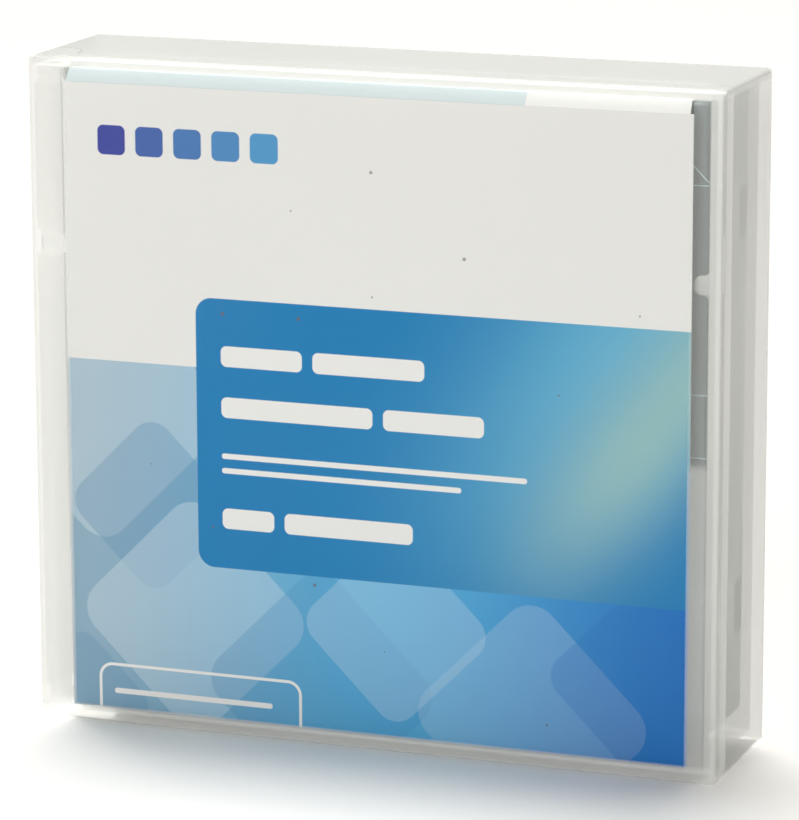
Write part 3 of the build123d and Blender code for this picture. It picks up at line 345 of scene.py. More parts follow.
class CartridgeLook(bpy.types.PropertyGroup):
    """The cartridge's shells and what they hold"""

    shell: bpy.props.FloatVectorProperty(
        name="Shell",
        description="Colour of the moulded shells",
        subtype="COLOR",
        size=3,
        min=0.0,
        max=1.0,
        default=(0.112, 0.156, 0.164),
    )
    reel: bpy.props.FloatVectorProperty(
        name="Reel",
        description="Colour of the hub, its flanges and the release plate",
        subtype="COLOR",
        size=3,
        min=0.0,
        max=1.0,
        default=(0.7, 0.71, 0.69),
    )
    brake: bpy.props.FloatVectorProperty(
        name="Brake",
        description="Colour of the brake button and the pin's clip",
        subtype="COLOR",
        size=3,
        min=0.0,
        max=1.0,
        default=(0.03, 0.03, 0.035),
    )
    switch: bpy.props.FloatVectorProperty(
        name="Switch",
        description="Colour of the write-protect switch",
        subtype="COLOR",
        size=3,
        min=0.0,
        max=1.0,
        default=(0.55, 0.06, 0.03),
    )
    film: bpy.props.FloatVectorProperty(
        name="Film",
        description="Colour of the wound cleaning tape",
        subtype="COLOR",
        size=3,
        min=0.0,
        max=1.0,
        default=(0.035, 0.03, 0.028),
    )
    steel: bpy.props.FloatVectorProperty(
        name="Steel",
        description="Colour of the springs, screws, pin and disc",
        subtype="COLOR",
        size=3,
        min=0.0,
        max=1.0,
        default=(0.58, 0.58, 0.6),
    )
    board: bpy.props.FloatVectorProperty(
        name="Board",
        description="Colour of the memory module's lacquer",
        subtype="COLOR",
        size=3,
        min=0.0,
        max=1.0,
        default=(0.02, 0.12, 0.05),
    )


class StudioSetup(bpy.types.PropertyGroup):
    """The camera, the floor and the lights"""

    camera_place: bpy.props.FloatVectorProperty(
        name="Camera place",
        description="Where the camera stands",
        subtype="TRANSLATION",
        unit="LENGTH",
        size=3,
        default=(0.24973, -0.66629, 0.21398),
    )
    camera_turn: bpy.props.FloatVectorProperty(
        name="Camera turn",
        description="How the camera is turned",
        subtype="EULER",
        unit="ROTATION",
        size=3,
        default=(math.radians(77.2731), math.radians(0.1743), math.radians(20.4813)),
    )
    lens: bpy.props.FloatProperty(
        name="Lens",
        description="Focal length of the lens in millimetres",
        min=10.0,
        max=400.0,
        default=198.4,
    )
    floor_size: bpy.props.FloatProperty(
        name="Floor size",
        description="Length of the square floor's side",
        subtype="DISTANCE",
        unit="LENGTH",
        default=8.0,
    )
    sky: bpy.props.FloatProperty(
        name="Room light",
        description="Strength of the even light from all round",
        min=0.0,
        max=5.0,
        default=0.24,
    )
    key: bpy.props.FloatProperty(
        name="Key light",
        description="Power of the large soft light at the front left",
        unit="POWER",
        min=0.0,
        default=9.4,
    )
    top: bpy.props.FloatProperty(
        name="Top light",
        description="Power of the soft light overhead",
        unit="POWER",
        min=0.0,
        default=76.0,
    )


# Shader helpers


def feed(tree, socket, value):
    """Links a socket into another, or sets it to a plain value."""
    if isinstance(value, bpy.types.NodeSocket):
        tree.links.new(value, socket)
    else:
        socket.default_value = value


def calc(tree, operation, *values):
    """Output of a maths node; each value is a number or a socket."""
    node = tree.nodes.new("ShaderNodeMath")
    node.operation = operation
    for socket, value in zip(node.inputs, values):
        feed(tree, socket, value)
    return node.outputs[0]


def vector_calc(tree, operation, *values):
    """Vector output of a vector maths node; each value is a vector or a socket."""
    node = tree.nodes.new("ShaderNodeVectorMath")
    node.operation = operation
    for socket, value in zip(node.inputs, values):
        feed(tree, socket, value)
    return node.outputs["Vector"]


def ramp(tree, value, low, high, start=0.0, end=1.0):
    """Output of a smooth step from start to end while value goes from low to high."""
    node = tree.nodes.new("ShaderNodeMapRange")
    node.interpolation_type = "SMOOTHSTEP"
    feed(tree, node.inputs["Value"], value)
    feed(tree, node.inputs["From Min"], low)
    feed(tree, node.inputs["From Max"], high)
    feed(tree, node.inputs["To Min"], start)
    feed(tree, node.inputs["To Max"], end)
    return node.outputs["Result"]


def blend_colours(tree, factor, first, second, blend_type="MIX"):
    """Output of a colour mix; first and second are colours or sockets."""
    node = tree.nodes.new("ShaderNodeMix")
    node.data_type = "RGBA"
    node.blend_type = blend_type
    feed(tree, node.inputs[0], factor)
    for socket, colour in ((node.inputs[6], first), (node.inputs[7], second)):
        if isinstance(colour, bpy.types.NodeSocket):
            feed(tree, socket, colour)
        else:
            feed(tree, socket, (*colour, 1.0))
    return node.outputs[2]


def split(tree, vector):
    """The X, Y and Z outputs of a vector."""
    node = tree.nodes.new("ShaderNodeSeparateXYZ")
    feed(tree, node.inputs[0], vector)
    return node.outputs[0], node.outputs[1], node.outputs[2]


def noise(tree, vector, scale, detail=2.0, stretch=(1.0, 1.0, 1.0)):
    """Noise that varies over the surface, as a value from 0 to 1."""
    mapping = tree.nodes.new("ShaderNodeMapping")
    mapping.inputs["Scale"].default_value = stretch
    feed(tree, mapping.inputs["Vector"], vector)
    node = tree.nodes.new("ShaderNodeTexNoise")
    feed(tree, node.inputs["Vector"], mapping.outputs[0])
    feed(tree, node.inputs["Scale"], scale)
    node.inputs["Detail"].default_value = detail
    return node.outputs["Fac"]


def new_group(name, inputs, outputs):
    """An empty shader group with its sockets, and its input and output nodes."""
    tree = bpy.data.node_groups.new(name, "ShaderNodeTree")
    for label, kind, default in inputs:
        socket = tree.interface.new_socket(label, in_out="INPUT", socket_type=kind)
        if default is not None:
            socket.default_value = default
    for label, kind in outputs:
        tree.interface.new_socket(label, in_out="OUTPUT", socket_type=kind)
    return tree, tree.nodes.new("NodeGroupInput"), tree.nodes.new("NodeGroupOutput")


def use_group(tree, name, values):
    """Places a shader group and feeds its inputs by name."""
    node = tree.nodes.new("ShaderNodeGroup")
    node.node_tree = bpy.data.node_groups[name]
    for label, value in values.items():
        feed(tree, node.inputs[label], value)
    return node.outputs


def build_printed_patch():
    """Group: an upright rectangle with round corners, for print on an upright sheet."""
    tree, given, result = new_group(
        "printed_patch",
        [
            ("Vector", "NodeSocketVector", None),
            ("Centre", "NodeSocketVector", None),
            ("Core", "NodeSocketVector", None),
            ("Corner", "NodeSocketFloat", 0.001),
            ("Softness", "NodeSocketFloat", 0.0001),
        ],
        [("Mask", "NodeSocketFloat"), ("Distance", "NodeSocketFloat")],
    )
    source = given.outputs
    offset = vector_calc(tree, "SUBTRACT", source["Vector"], source["Centre"])
    offset = vector_calc(tree, "ABSOLUTE", offset)
    reach = vector_calc(tree, "SUBTRACT", offset, source["Core"])
    reach = vector_calc(tree, "MAXIMUM", reach, (0.0, 0.0, 0.0))
    length = tree.nodes.new("ShaderNodeVectorMath")
    length.operation = "LENGTH"
    feed(tree, length.inputs[0], reach)
    distance = calc(tree, "SUBTRACT", length.outputs["Value"], source["Corner"])
    soft = source["Softness"]
    mask = ramp(tree, distance, calc(tree, "MULTIPLY", soft, -1.0), soft, 1.0, 0.0)
    feed(tree, result.inputs["Mask"], mask)
    feed(tree, result.inputs["Distance"], distance)


def build_printed_glow():
    """Group: a soft streak along a line on an upright sheet."""
    tree, given, result = new_group(
        "printed_glow",
        [
            ("Vector", "NodeSocketVector", None),
            ("Point X", "NodeSocketFloat", 0.0),
            ("Point Z", "NodeSocketFloat", 0.0),
            ("Turn", "NodeSocketFloat", 0.0),
            ("Width", "NodeSocketFloat", 0.01),
            ("Start", "NodeSocketFloat", -0.05),
            ("End", "NodeSocketFloat", 0.05),
        ],
        [("Mask", "NodeSocketFloat")],
    )
    source = given.outputs
    x, _, z = split(tree, source["Vector"])
    x = calc(tree, "SUBTRACT", x, source["Point X"])
    z = calc(tree, "SUBTRACT", z, source["Point Z"])
    cosine = calc(tree, "COSINE", source["Turn"])
    sine = calc(tree, "SINE", source["Turn"])
    along = calc(tree, "ADD", calc(tree, "MULTIPLY", x, cosine), calc(tree, "MULTIPLY", z, sine))
    across = calc(
        tree, "SUBTRACT", calc(tree, "MULTIPLY", z, cosine), calc(tree, "MULTIPLY", x, sine)
    )
    ratio = calc(tree, "DIVIDE", across, source["Width"])
    bell = calc(tree, "EXPONENT", calc(tree, "MULTIPLY", calc(tree, "POWER", ratio, 2.0), -1.0))
    fade = ramp(tree, along, source["Start"], source["End"])
    feed(tree, result.inputs["Mask"], calc(tree, "MULTIPLY", bell, fade))


def build_moulded_grain():
    """Group: the fine texture and faint mottling of a moulded surface."""
    tree, given, result = new_group(
        "moulded_grain",
        [
            ("Vector", "NodeSocketVector", None),
            ("Grain size", "NodeSocketFloat", 0.0004),
            ("Mottle size", "NodeSocketFloat", 0.02),
        ],
        [("Height", "NodeSocketFloat"), ("Tone", "NodeSocketFloat")],
    )
    source = given.outputs
    fine = noise(tree, source["Vector"], calc(tree, "DIVIDE", 1.0, source["Grain size"]), 1.0)
    broad = noise(tree, source["Vector"], calc(tree, "DIVIDE", 1.0, source["Mottle size"]), 3.0)
    feed(tree, result.inputs["Height"], fine)
    feed(tree, result.inputs["Tone"], ramp(tree, broad, 0.3, 0.7))


def build_handling_marks():
    """Group: hair-fine scratches and rubbed places from handling."""
    tree, given, result = new_group(
        "handling_marks",
        [("Vector", "NodeSocketVector", None), ("Amount", "NodeSocketFloat", 0.5)],
        [("Scratches", "NodeSocketFloat"), ("Rub", "NodeSocketFloat")],
    )
    source = given.outputs
    streaks = []
    for turn in (0.5, -0.9):
        rotate = tree.nodes.new("ShaderNodeVectorRotate")
        rotate.rotation_type = "Y_AXIS"
        feed(tree, rotate.inputs["Vector"], source["Vector"])
        rotate.inputs["Angle"].default_value = turn
        value = noise(tree, rotate.outputs[0], 90.0, 2.0, (1.0, 1.0, 40.0))
        streaks.append(ramp(tree, value, 0.68, 0.74))
    patches = noise(tree, source["Vector"], 45.0, 2.0)
    lines = calc(tree, "MULTIPLY", calc(tree, "MAXIMUM", *streaks), ramp(tree, patches, 0.5, 0.6))
    feed(tree, result.inputs["Scratches"], calc(tree, "MULTIPLY", lines, source["Amount"]))
    rub = ramp(tree, noise(tree, source["Vector"], 60.0, 4.0), 0.45, 0.75)
    feed(tree, result.inputs["Rub"], calc(tree, "MULTIPLY", rub, source["Amount"]))


def build_specks():
    """Group: a few scattered dust specks on an upright sheet."""
    tree, given, result = new_group(
        "dust_specks",
        [
            ("Vector", "NodeSocketVector", None),
            ("Spacing", "NodeSocketFloat", 0.012),
            ("Size", "NodeSocketFloat", 0.0003),
            ("Share", "NodeSocketFloat", 0.4),
        ],
        [("Mask", "NodeSocketFloat")],
    )
    source = given.outputs
    x, _, z = split(tree, source["Vector"])
    flat = tree.nodes.new("ShaderNodeCombineXYZ")
    feed(tree, flat.inputs[0], x)
    feed(tree, flat.inputs[1], z)
    cells = tree.nodes.new("ShaderNodeTexVoronoi")
    cells.feature = "F1"
    cells.voronoi_dimensions = "2D"
    feed(tree, cells.inputs["Vector"], flat.outputs[0])
    feed(tree, cells.inputs["Scale"], calc(tree, "DIVIDE", 1.0, source["Spacing"]))
    distance = calc(tree, "MULTIPLY", cells.outputs["Distance"], source["Spacing"])
    red, green, _ = split(tree, cells.outputs["Color"])
    size = calc(tree, "MULTIPLY", source["Size"], calc(tree, "ADD", green, 0.4))
    dot = ramp(tree, distance, calc(tree, "MULTIPLY", size, 0.5), size, 1.0, 0.0)
    chosen = calc(tree, "LESS_THAN", red, source["Share"])
    feed(tree, result.inputs["Mask"], calc(tree, "MULTIPLY", dot, chosen))


def build_turned_rings():
    """Group: fine rings round the reel's axis, for wound tape and turned metal."""
    tree, given, result = new_group(
        "turned_rings",
        [
            ("Vector", "NodeSocketVector", None),
            ("Centre X", "NodeSocketFloat", 0.0),
            ("Centre Z", "NodeSocketFloat", 0.0),
            ("Pitch", "NodeSocketFloat", 0.0003),
        ],
        [("Height", "NodeSocketFloat"), ("Tone", "NodeSocketFloat")],
    )
    source = given.outputs
    x, _, z = split(tree, source["Vector"])
    x = calc(tree, "SUBTRACT", x, source["Centre X"])
    z = calc(tree, "SUBTRACT", z, source["Centre Z"])
    radius = calc(
        tree, "SQRT", calc(tree, "ADD", calc(tree, "POWER", x, 2.0), calc(tree, "POWER", z, 2.0))
    )
    turns = calc(tree, "DIVIDE", radius, source["Pitch"])
    flat = tree.nodes.new("ShaderNodeCombineXYZ")
    feed(tree, flat.inputs[0], calc(tree, "MULTIPLY", turns, 0.35))
    wander = noise(tree, flat.outputs[0], 1.0, 4.0)
    wave = calc(tree, "SINE", calc(tree, "MULTIPLY", turns, 2 * math.pi))
    feed(tree, result.inputs["Height"], calc(tree, "MULTIPLY", wave, 0.5))
    feed(tree, result.inputs["Tone"], ramp(tree, wander, 0.35, 0.65))


def start_material(name):
    """A new material: its tree, its shader's inputs and the object coordinates."""
    material = bpy.data.materials.new(name)
    material.use_nodes = True
    tree = material.node_tree
    shader = tree.nodes["Principled BSDF"]
    coordinates = tree.nodes.new("ShaderNodeTexCoord").outputs["Object"]
    return material, tree, shader.inputs, coordinates


def raise_surface(tree, surface, height, distance, strength=1.0):
    """Feeds a height into the shader's normal through a bump node."""
    bump = tree.nodes.new("ShaderNodeBump")
    bump.inputs["Strength"].default_value = strength
    bump.inputs["Distance"].default_value = distance
    feed(tree, bump.inputs["Height"], height)
    feed(tree, surface["Normal"], bump.outputs[0])


def dress(material, *node_names):
    """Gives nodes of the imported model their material."""
    for node_name in node_names:
        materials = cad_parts[node_name].data.materials
        materials.clear()
        materials.append(material)


def shade(colour, factor):
    """A colour made lighter or darker by a factor."""
    return tuple(min(channel * factor, 1.0) for channel in colour)


def window_mask(tree, x, height):
    """Mask of the polished window in the lid's front plate, soft at its edge."""
    reach = []
    for place, low, high in (
        (x, CARD_LOW[0] + 0.5 * MM, LID_HIGH[0] - 2.0 * MM),
        (height, CARD_LOW[2] + 0.3 * MM, WINDOW_TOP),
    ):
        offset = calc(tree, "ABSOLUTE", calc(tree, "SUBTRACT", place, (low + high) / 2))
        reach.append(calc(tree, "SUBTRACT", offset, (high - low) / 2))
    edge = calc(tree, "MAXIMUM", *reach)
    return ramp(tree, edge, -0.25 * MM, 0.25 * MM, 1.0, 0.0)


def wall_hiding(tree, height, look):
    """How much the walls hide at a height: less toward the foot, more in the top walls."""
    side = ramp(tree, height, 0.0, FOOT_FADE_TOP, look.foot_haze, look.wall_haze)
    return ramp(tree, height, WINDOW_TOP, WINDOW_TOP + 0.4 * MM, side, look.roof_haze)


def milky_lid(look):
    """Milky plastic of the lid: a polished window in the front plate, matt all round it."""
    material, tree, surface, place = start_material("milky_lid")
    x, depth, height = split(tree, place)
    clear = window_mask(tree, x, height)
    edge = CARD_HIGH[0]
    beside = ramp(tree, height, SCUFF_TOP - 1.5 * MM, SCUFF_TOP, look.scuff_haze, look.plate_haze)
    plate = ramp(tree, x, edge - 0.1 * MM, edge + 0.2 * MM, look.window_haze, beside)
    plate = ramp(tree, clear, 0.0, 1.0, look.border_haze, plate)
    inner = LID_LOW[1] + PLATE
    on_plate = ramp(tree, depth, inner, inner + 0.6 * MM, 1.0, 0.0)
    walls = wall_hiding(tree, height, look)
    feed(tree, surface["Alpha"], ramp(tree, on_plate, 0.0, 1.0, walls, plate))
    finish_milky(tree, surface, place, look)
    return material


def milky_base(look):
    """Milky plastic of the base, thinner to the eye across its back plate."""
    material, tree, surface, place = start_material("milky_base")
    _, depth, height = split(tree, place)
    inner = BASE_BACK - PLATE
    walls = wall_hiding(tree, height, look)
    haze = ramp(tree, depth, inner, inner + 0.4 * MM, walls, look.back_haze)
    feed(tree, surface["Alpha"], haze)
    finish_milky(tree, surface, place, look)
    return material


def finish_milky(tree, surface, place, look):
    """Tone and gloss that the lid and the base share."""
    tint = tuple(look.tint)
    cloud = noise(tree, place, 32.0, 0.0)
    tone = blend_colours(tree, cloud, shade(tint, 0.97), shade(tint, 1.03))
    feed(tree, surface["Base Color"], tone)
    surface["Roughness"].default_value = look.gloss
    surface["IOR"].default_value = 1.49
    surface["Specular IOR Level"].default_value = 0.4


def patch(tree, place, box, corner, softness=0.08):
    """Outputs of a round-cornered patch; box is left, foot, width and height in mm."""
    left, foot, width, height = box
    core = ((width / 2 - corner) * MM, 1.0, (height / 2 - corner) * MM)
    return use_group(
        tree,
        "printed_patch",
        {
            "Vector": place,
            "Centre": ((left + width / 2) * MM, 0.0, (foot + height / 2) * MM),
            "Core": core,
            "Corner": corner * MM,
            "Softness": softness * MM,
        },
    )


def print_patch(tree, place, colour, ink, box, corner, softness=0.08, share=1.0):
    """Lays one patch of ink on the print so far; box is left, foot, width and height in mm."""
    mask = patch(tree, place, box, corner, softness)["Mask"]
    if share != 1.0:
        mask = calc(tree, "MULTIPLY", mask, share)
    return blend_colours(tree, mask, colour, ink)


def streak_mask(tree, place, point, turn, width, span):
    """Mask of a soft streak through a point of the sheet; turn is in degrees, the rest in mm."""
    return use_group(
        tree,
        "printed_glow",
        {
            "Vector": place,
            "Point X": point[0] * MM,
            "Point Z": point[1] * MM,
            "Turn": math.radians(turn),
            "Width": width * MM,
            "Start": span[0] * MM,
            "End": span[1] * MM,
        },
    )["Mask"]


def turned_place(x, z):
    """Where a point of the upright sheet lands once the sheet is turned by the tiles' angle."""
    sine, cosine = math.sin(TILE_TURN), math.cos(TILE_TURN)
    return x * cosine + z * sine, z * cosine - x * sine


def printed_card(look):
    """The card: a white and a blue field, a panel with a glow, plain bars and a pale flap."""
    material, tree, surface, place = start_material("printed_card")
    x, y, z = split(tree, place)
    paper = tuple(look.paper)
    grain = use_group(
        tree, "moulded_grain", {"Vector": place, "Grain size": 0.00025, "Mottle size": 0.05}
    )

    # Lower field: pale at the left, deep at the right, with turned tiles in two tones
    slope = calc(tree, "ADD", x, calc(tree, "MULTIPLY", z, -0.08))
    left_half = ramp(tree, slope, -60 * MM, 5 * MM)
    right_half = ramp(tree, slope, -5 * MM, 55 * MM)
    field = blend_colours(tree, left_half, tuple(look.pale), tuple(look.middle))
    field = blend_colours(tree, right_half, field, tuple(look.deep))
    tones = {
        "lighter": blend_colours(tree, 1.0, field, LIGHTER_TINT, "SCREEN"),
        "darker": blend_colours(tree, 1.0, field, DARKER_TINT, "MULTIPLY"),
    }
    turned = tree.nodes.new("ShaderNodeVectorRotate")
    turned.rotation_type = "Y_AXIS"
    turned.inputs["Angle"].default_value = TILE_TURN
    feed(tree, turned.inputs["Vector"], place)
    for centre_x, centre_z, size, corner, tone, share in TILES:
        centre = turned_place(centre_x, centre_z)
        box = (centre[0] - size / 2, centre[1] - size / 2, size, size)
        field = print_patch(tree, turned.outputs[0], field, tones[tone], box, corner, 0.12, share)
    edge = look.field_top
    in_field = ramp(tree, z, edge - 0.08 * MM, edge + 0.08 * MM, 1.0, 0.0)
    colour = blend_colours(tree, in_field, paper, field)

    # Panel with a diagonal glow, running off the right edge of the card
    streak = streak_mask(tree, place, (38, 45), GLOW_TURN, 9.5, (-34, 12))
    halo = streak_mask(tree, place, (27, 50), GLOW_TURN, 17, (-48, 26))
    panel = blend_colours(tree, halo, tuple(look.panel), HALO_BLUE)
    panel = blend_colours(tree, streak, panel, tuple(look.glow))
    panel_right = CARD_HIGH[0] / MM + 10.0
    panel_box = (
        look.panel_left / MM,
        look.panel_foot / MM,
        panel_right - look.panel_left / MM,
        (look.panel_top - look.panel_foot) / MM,
    )
    colour = print_patch(tree, place, colour, panel, panel_box, look.panel_corner / MM)

    # Plain bars in the panel and a row of squares in the white field
    white = shade(paper, 1.02)
    for box in BARS:
        colour = print_patch(tree, place, colour, white, box, min(box[3] / 2.2, 1.0))
    for index in range(SQUARE_COUNT):
        left = SQUARE_LEFT + index * SQUARE_PITCH
        tone = blend_colours(tree, index / 6, tuple(look.mark), tuple(look.middle))
        box = (left, SQUARE_FOOT, SQUARE_SIZE, SQUARE_SIZE)
        colour = print_patch(tree, place, colour, tone, box, 1.0)

    # Open-footed outline tab at the lower left
    rim = patch(tree, place, TAB, 2.2)["Distance"]
    stroke = ramp(tree, calc(tree, "ABSOLUTE", rim), 0.2 * MM, 0.3 * MM, 1.0, 0.0)
    colour = blend_colours(tree, stroke, colour, white)
    colour = print_patch(tree, place, colour, white, TAB_LINE, 0.4)

    # Dust on the front
    specks = use_group(
        tree, "dust_specks", {"Vector": place, "Spacing": 0.014, "Size": 0.00032, "Share": 0.3}
    )
    dust = calc(tree, "MULTIPLY", specks["Mask"], 0.7)
    colour = blend_colours(tree, dust, colour, DUST)

    # The back of the sheet is bare, and the flap and the fold to it are pale cyan
    back = ramp(tree, y, CARD_LOW[1] + 0.1 * MM, CARD_LOW[1] + 0.2 * MM)
    colour = blend_colours(tree, back, colour, paper)
    fold = ramp(tree, z, CARD_FOLD - 0.15 * MM, CARD_FOLD)
    flap_end = ramp(tree, x, look.flap_end - 0.1 * MM, look.flap_end + 0.1 * MM)
    flap = blend_colours(tree, flap_end, tuple(look.flap), shade(paper, 0.95))
    colour = blend_colours(tree, fold, colour, flap)
    mottle = calc(tree, "MULTIPLY", grain["Tone"], 0.03)
    colour = blend_colours(tree, mottle, colour, (0.4, 0.4, 0.4))
    feed(tree, surface["Base Color"], colour)
    feed(tree, surface["Roughness"], ramp(tree, grain["Tone"], 0.0, 1.0, 0.34, 0.42))
    surface["Specular IOR Level"].default_value = 0.12
    return material


def satin_plastic(name, colour, rough, bright_line_heights=()):
    """Opaque moulded plastic with marks of handling.

    With heights given, the bare strip has thin bright lines at those heights and one scratch.
    """
    material, tree, surface, place = start_material(name)
    grain = use_group(
        tree, "moulded_grain", {"Vector": place, "Grain size": 0.0004, "Mottle size": 0.015}
    )
    marks = use_group(tree, "handling_marks", {"Vector": place, "Amount": 0.6})
    tone = blend_colours(tree, grain["Tone"], shade(colour, 0.93), shade(colour, 1.06))
    scratches = calc(tree, "MULTIPLY", marks["Scratches"], 0.5)
    tone = blend_colours(tree, scratches, tone, shade(colour, 1.8))
    if bright_line_heights:
        # Thin lines five times brighter than the shell at the given heights on the bare strip,
        # and one scratch
        x, _, z = split(tree, place)
        near = 1.0
        for height in bright_line_heights:
            gap = calc(tree, "ABSOLUTE", calc(tree, "SUBTRACT", z, height))
            near = calc(tree, "MINIMUM", near, gap)
        edge = ramp(tree, near, 0.07 * MM, 0.17 * MM, 0.7, 0.0)
        on_strip = ramp(tree, x, STRIP_START, STRIP_START + 0.2 * MM)
        edge = calc(tree, "MULTIPLY", edge, on_strip)
        scratch = streak_mask(tree, place, (53.9, 96.3), -46, 0.09, (-2.6, -1.6))
        scratch = calc(tree, "MULTIPLY", scratch, ramp(tree, z, 95.0 * MM, 95.1 * MM))
        edge = calc(tree, "MAXIMUM", edge, scratch)
        tone = blend_colours(tree, edge, tone, shade(colour, 5.0))
    feed(tree, surface["Base Color"], tone)
    feed(tree, surface["Roughness"], ramp(tree, marks["Rub"], 0.0, 1.0, rough, rough - 0.12))
    raise_surface(tree, surface, grain["Height"], 0.00004, 0.5)
    return material


def wound_film(colour):
    """The edge of wound tape: fine rings with slight steps between turns."""
    material, tree, surface, place = start_material("cleaning_tape")
    rings = use_group(
        tree,
        "turned_rings",
        {"Vector": place, "Centre X": REEL_X, "Centre Z": REEL_Z, "Pitch": 0.00022},
    )
    tone = blend_colours(tree, rings["Tone"], shade(colour, 0.75), shade(colour, 1.6))
    feed(tree, surface["Base Color"], tone)
    feed(tree, surface["Roughness"], ramp(tree, rings["Tone"], 0.0, 1.0, 0.28, 0.42))
    raise_surface(tree, surface, rings["Height"], 0.00003, 0.6)
    return material


def turned_steel(name, colour, ringed):
    """Bright steel; ringed adds the rings of a turned face round the reel's axis."""
    material, tree, surface, place = start_material(name)
    surface["Metallic"].default_value = 1.0
    grain = use_group(
        tree, "moulded_grain", {"Vector": place, "Grain size": 0.0003, "Mottle size": 0.004}
    )
    tone = blend_colours(tree, grain["Tone"], shade(colour, 0.88), shade(colour, 1.08))
    height = grain["Height"]
    if ringed:
        rings = use_group(
            tree,
            "turned_rings",
            {"Vector": place, "Centre X": REEL_X, "Centre Z": REEL_Z, "Pitch": 0.00035},
        )
        tone = blend_colours(tree, rings["Tone"], tone, shade(colour, 1.15))
        height = rings["Height"]
    feed(tree, surface["Base Color"], tone)
    feed(tree, surface["Roughness"], ramp(tree, grain["Tone"], 0.0, 1.0, 0.22, 0.34))
    raise_surface(tree, surface, height, 0.00002, 0.4)
    return material


def lacquered_board(colour):
    """The memory module: green lacquer with a copper loop, and a black moulded chip."""
    material, tree, surface, place = start_material("circuit_board")
    low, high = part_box("memory_module")
    middle = [(first + second) / 2 for first, second in zip(low, high)]
    x, y, z = split(tree, place)

    # Distances from the board's middle across and along it; the board stands at 45 degrees
    from_x = calc(tree, "SUBTRACT", x, middle[0])
    from_z = calc(tree, "SUBTRACT", z, middle[2])
    across = calc(tree, "MULTIPLY", calc(tree, "SUBTRACT", from_x, from_z), math.sqrt(0.5))
    across = calc(tree, "ABSOLUTE", across)
    along = calc(tree, "ABSOLUTE", calc(tree, "SUBTRACT", y, middle[1]))

    # Turns of the copper loop
    loop_across = calc(tree, "SUBTRACT", across, 4.0 * MM)
    loop_along = calc(tree, "SUBTRACT", along, 7.4 * MM)
    ring = calc(tree, "ABSOLUTE", calc(tree, "MAXIMUM", loop_across, loop_along))
    pitch = 0.6 * MM
    turns = calc(tree, "SINE", calc(tree, "MULTIPLY", ring, 2 * math.pi / pitch))
    near = ramp(tree, ring, 1.0 * MM, 1.2 * MM, 1.0, 0.0)
    copper = calc(tree, "MULTIPLY", ramp(tree, turns, 0.1, 0.4), near)
    tone = blend_colours(tree, copper, colour, (0.28, 0.42, 0.12))

    # Square chip at the board's middle
    sides = [ramp(tree, reach, 2.5 * MM, 2.6 * MM, 1.0, 0.0) for reach in (along, across)]
    chip = calc(tree, "MULTIPLY", *sides)
    tone = blend_colours(tree, chip, tone, (0.02, 0.02, 0.022))
    feed(tree, surface["Base Color"], tone)
    feed(tree, surface["Roughness"], ramp(tree, chip, 0.0, 1.0, 0.25, 0.55))
    return material


# Shaping helpers


def pick_nothing():
    """Leaves edit mode and deselects everything."""
    if bpy.context.object and bpy.context.object.mode != "OBJECT":
        bpy.ops.object.mode_set(mode="OBJECT")
    bpy.ops.object.select_all(action="DESELECT")


def settle(obj, name):
    """Names an object and puts its place into its mesh."""
    obj.name = name
    obj.data.name = name
    pick_nothing()
    obj.select_set(True)
    bpy.context.view_layer.objects.active = obj
    bpy.ops.object.transform_apply(location=True, rotation=True, scale=True)


def wind_coil(node, name):
    """Copies a coil spring of the model into a smooth piece of its own on the case, and hides the
    model's spring.
    """
    pick_nothing()
    coil = bpy.data.objects.new(name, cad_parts[node].data.copy())
    coil.data.name = name
    bpy.context.collection.objects.link(coil)
    coil.select_set(True)
    bpy.context.view_layer.objects.active = coil
    bpy.ops.object.mode_set(mode="EDIT")
    bpy.ops.mesh.select_all(action="SELECT")
    bpy.ops.mesh.remove_doubles(threshold=0.001 * MM)
    bpy.ops.object.mode_set(mode="OBJECT")
    bpy.ops.object.shade_smooth_by_angle(angle=math.radians(40))
    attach(coil, "case")
    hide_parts(node)
    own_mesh(coil)
    return coil


# Operators


class CARTRIDGE_OT_stage(bpy.types.Operator):
    """Set the camera, the floor and the soft lights"""

    bl_idname = "cartridge.stage"
    bl_label = "Set the studio"

    def execute(self, context):
        setup = context.scene.cartridge_studio
        pick_nothing()
        bpy.ops.object.camera_add(location=setup.camera_place, rotation=setup.camera_turn)
        camera = context.object
        camera.name = "studio_camera"
        camera.data.lens = setup.lens
        camera.data.sensor_width = SENSOR_WIDTH
        camera.data.clip_start = 0.01
        camera.data.clip_end = 50.0
        context.scene.camera = camera

        pick_nothing()
        bpy.ops.mesh.primitive_plane_add(size=setup.floor_size, location=(0.0, 0.0, 0.0))
        floor = context.object
        settle(floor, "studio_floor")
        material, _, surface, _ = start_material("studio_floor")
        surface["Base Color"].default_value = FLOOR_WHITE
        surface["Roughness"].default_value = 0.7
        surface["Specular IOR Level"].default_value = 0.2
        floor.data.materials.append(material)

        for name, place, size, power, target in (
            ("key_light", (-0.55, -1.45, 0.55), 0.9, setup.key, (0.0, 0.0, 0.06)),
            ("top_light", (-0.3, 0.62, 2.8), 1.1, setup.top, (0.0, 0.0, 0.0)),
        ):
            pick_nothing()
            bpy.ops.object.light_add(type="AREA", location=place)
            light = context.object
            light.name = name
            light.data.shape = "SQUARE"
            light.data.size = size
            light.data.energy = power
            light.data.color = LAMP_WHITE
            toward = Vector(target) - Vector(place)
            light.rotation_euler = toward.to_track_quat("-Z", "Y").to_euler()

        world = bpy.data.worlds.new("studio_room")
        world.use_nodes = True
        background = world.node_tree.nodes["Background"]
        background.inputs["Color"].default_value = ROOM_WHITE
        background.inputs["Strength"].default_value = setup.sky
        context.scene.world = world
        context.scene.view_settings.view_transform = "Standard"
        return {"FINISHED"}


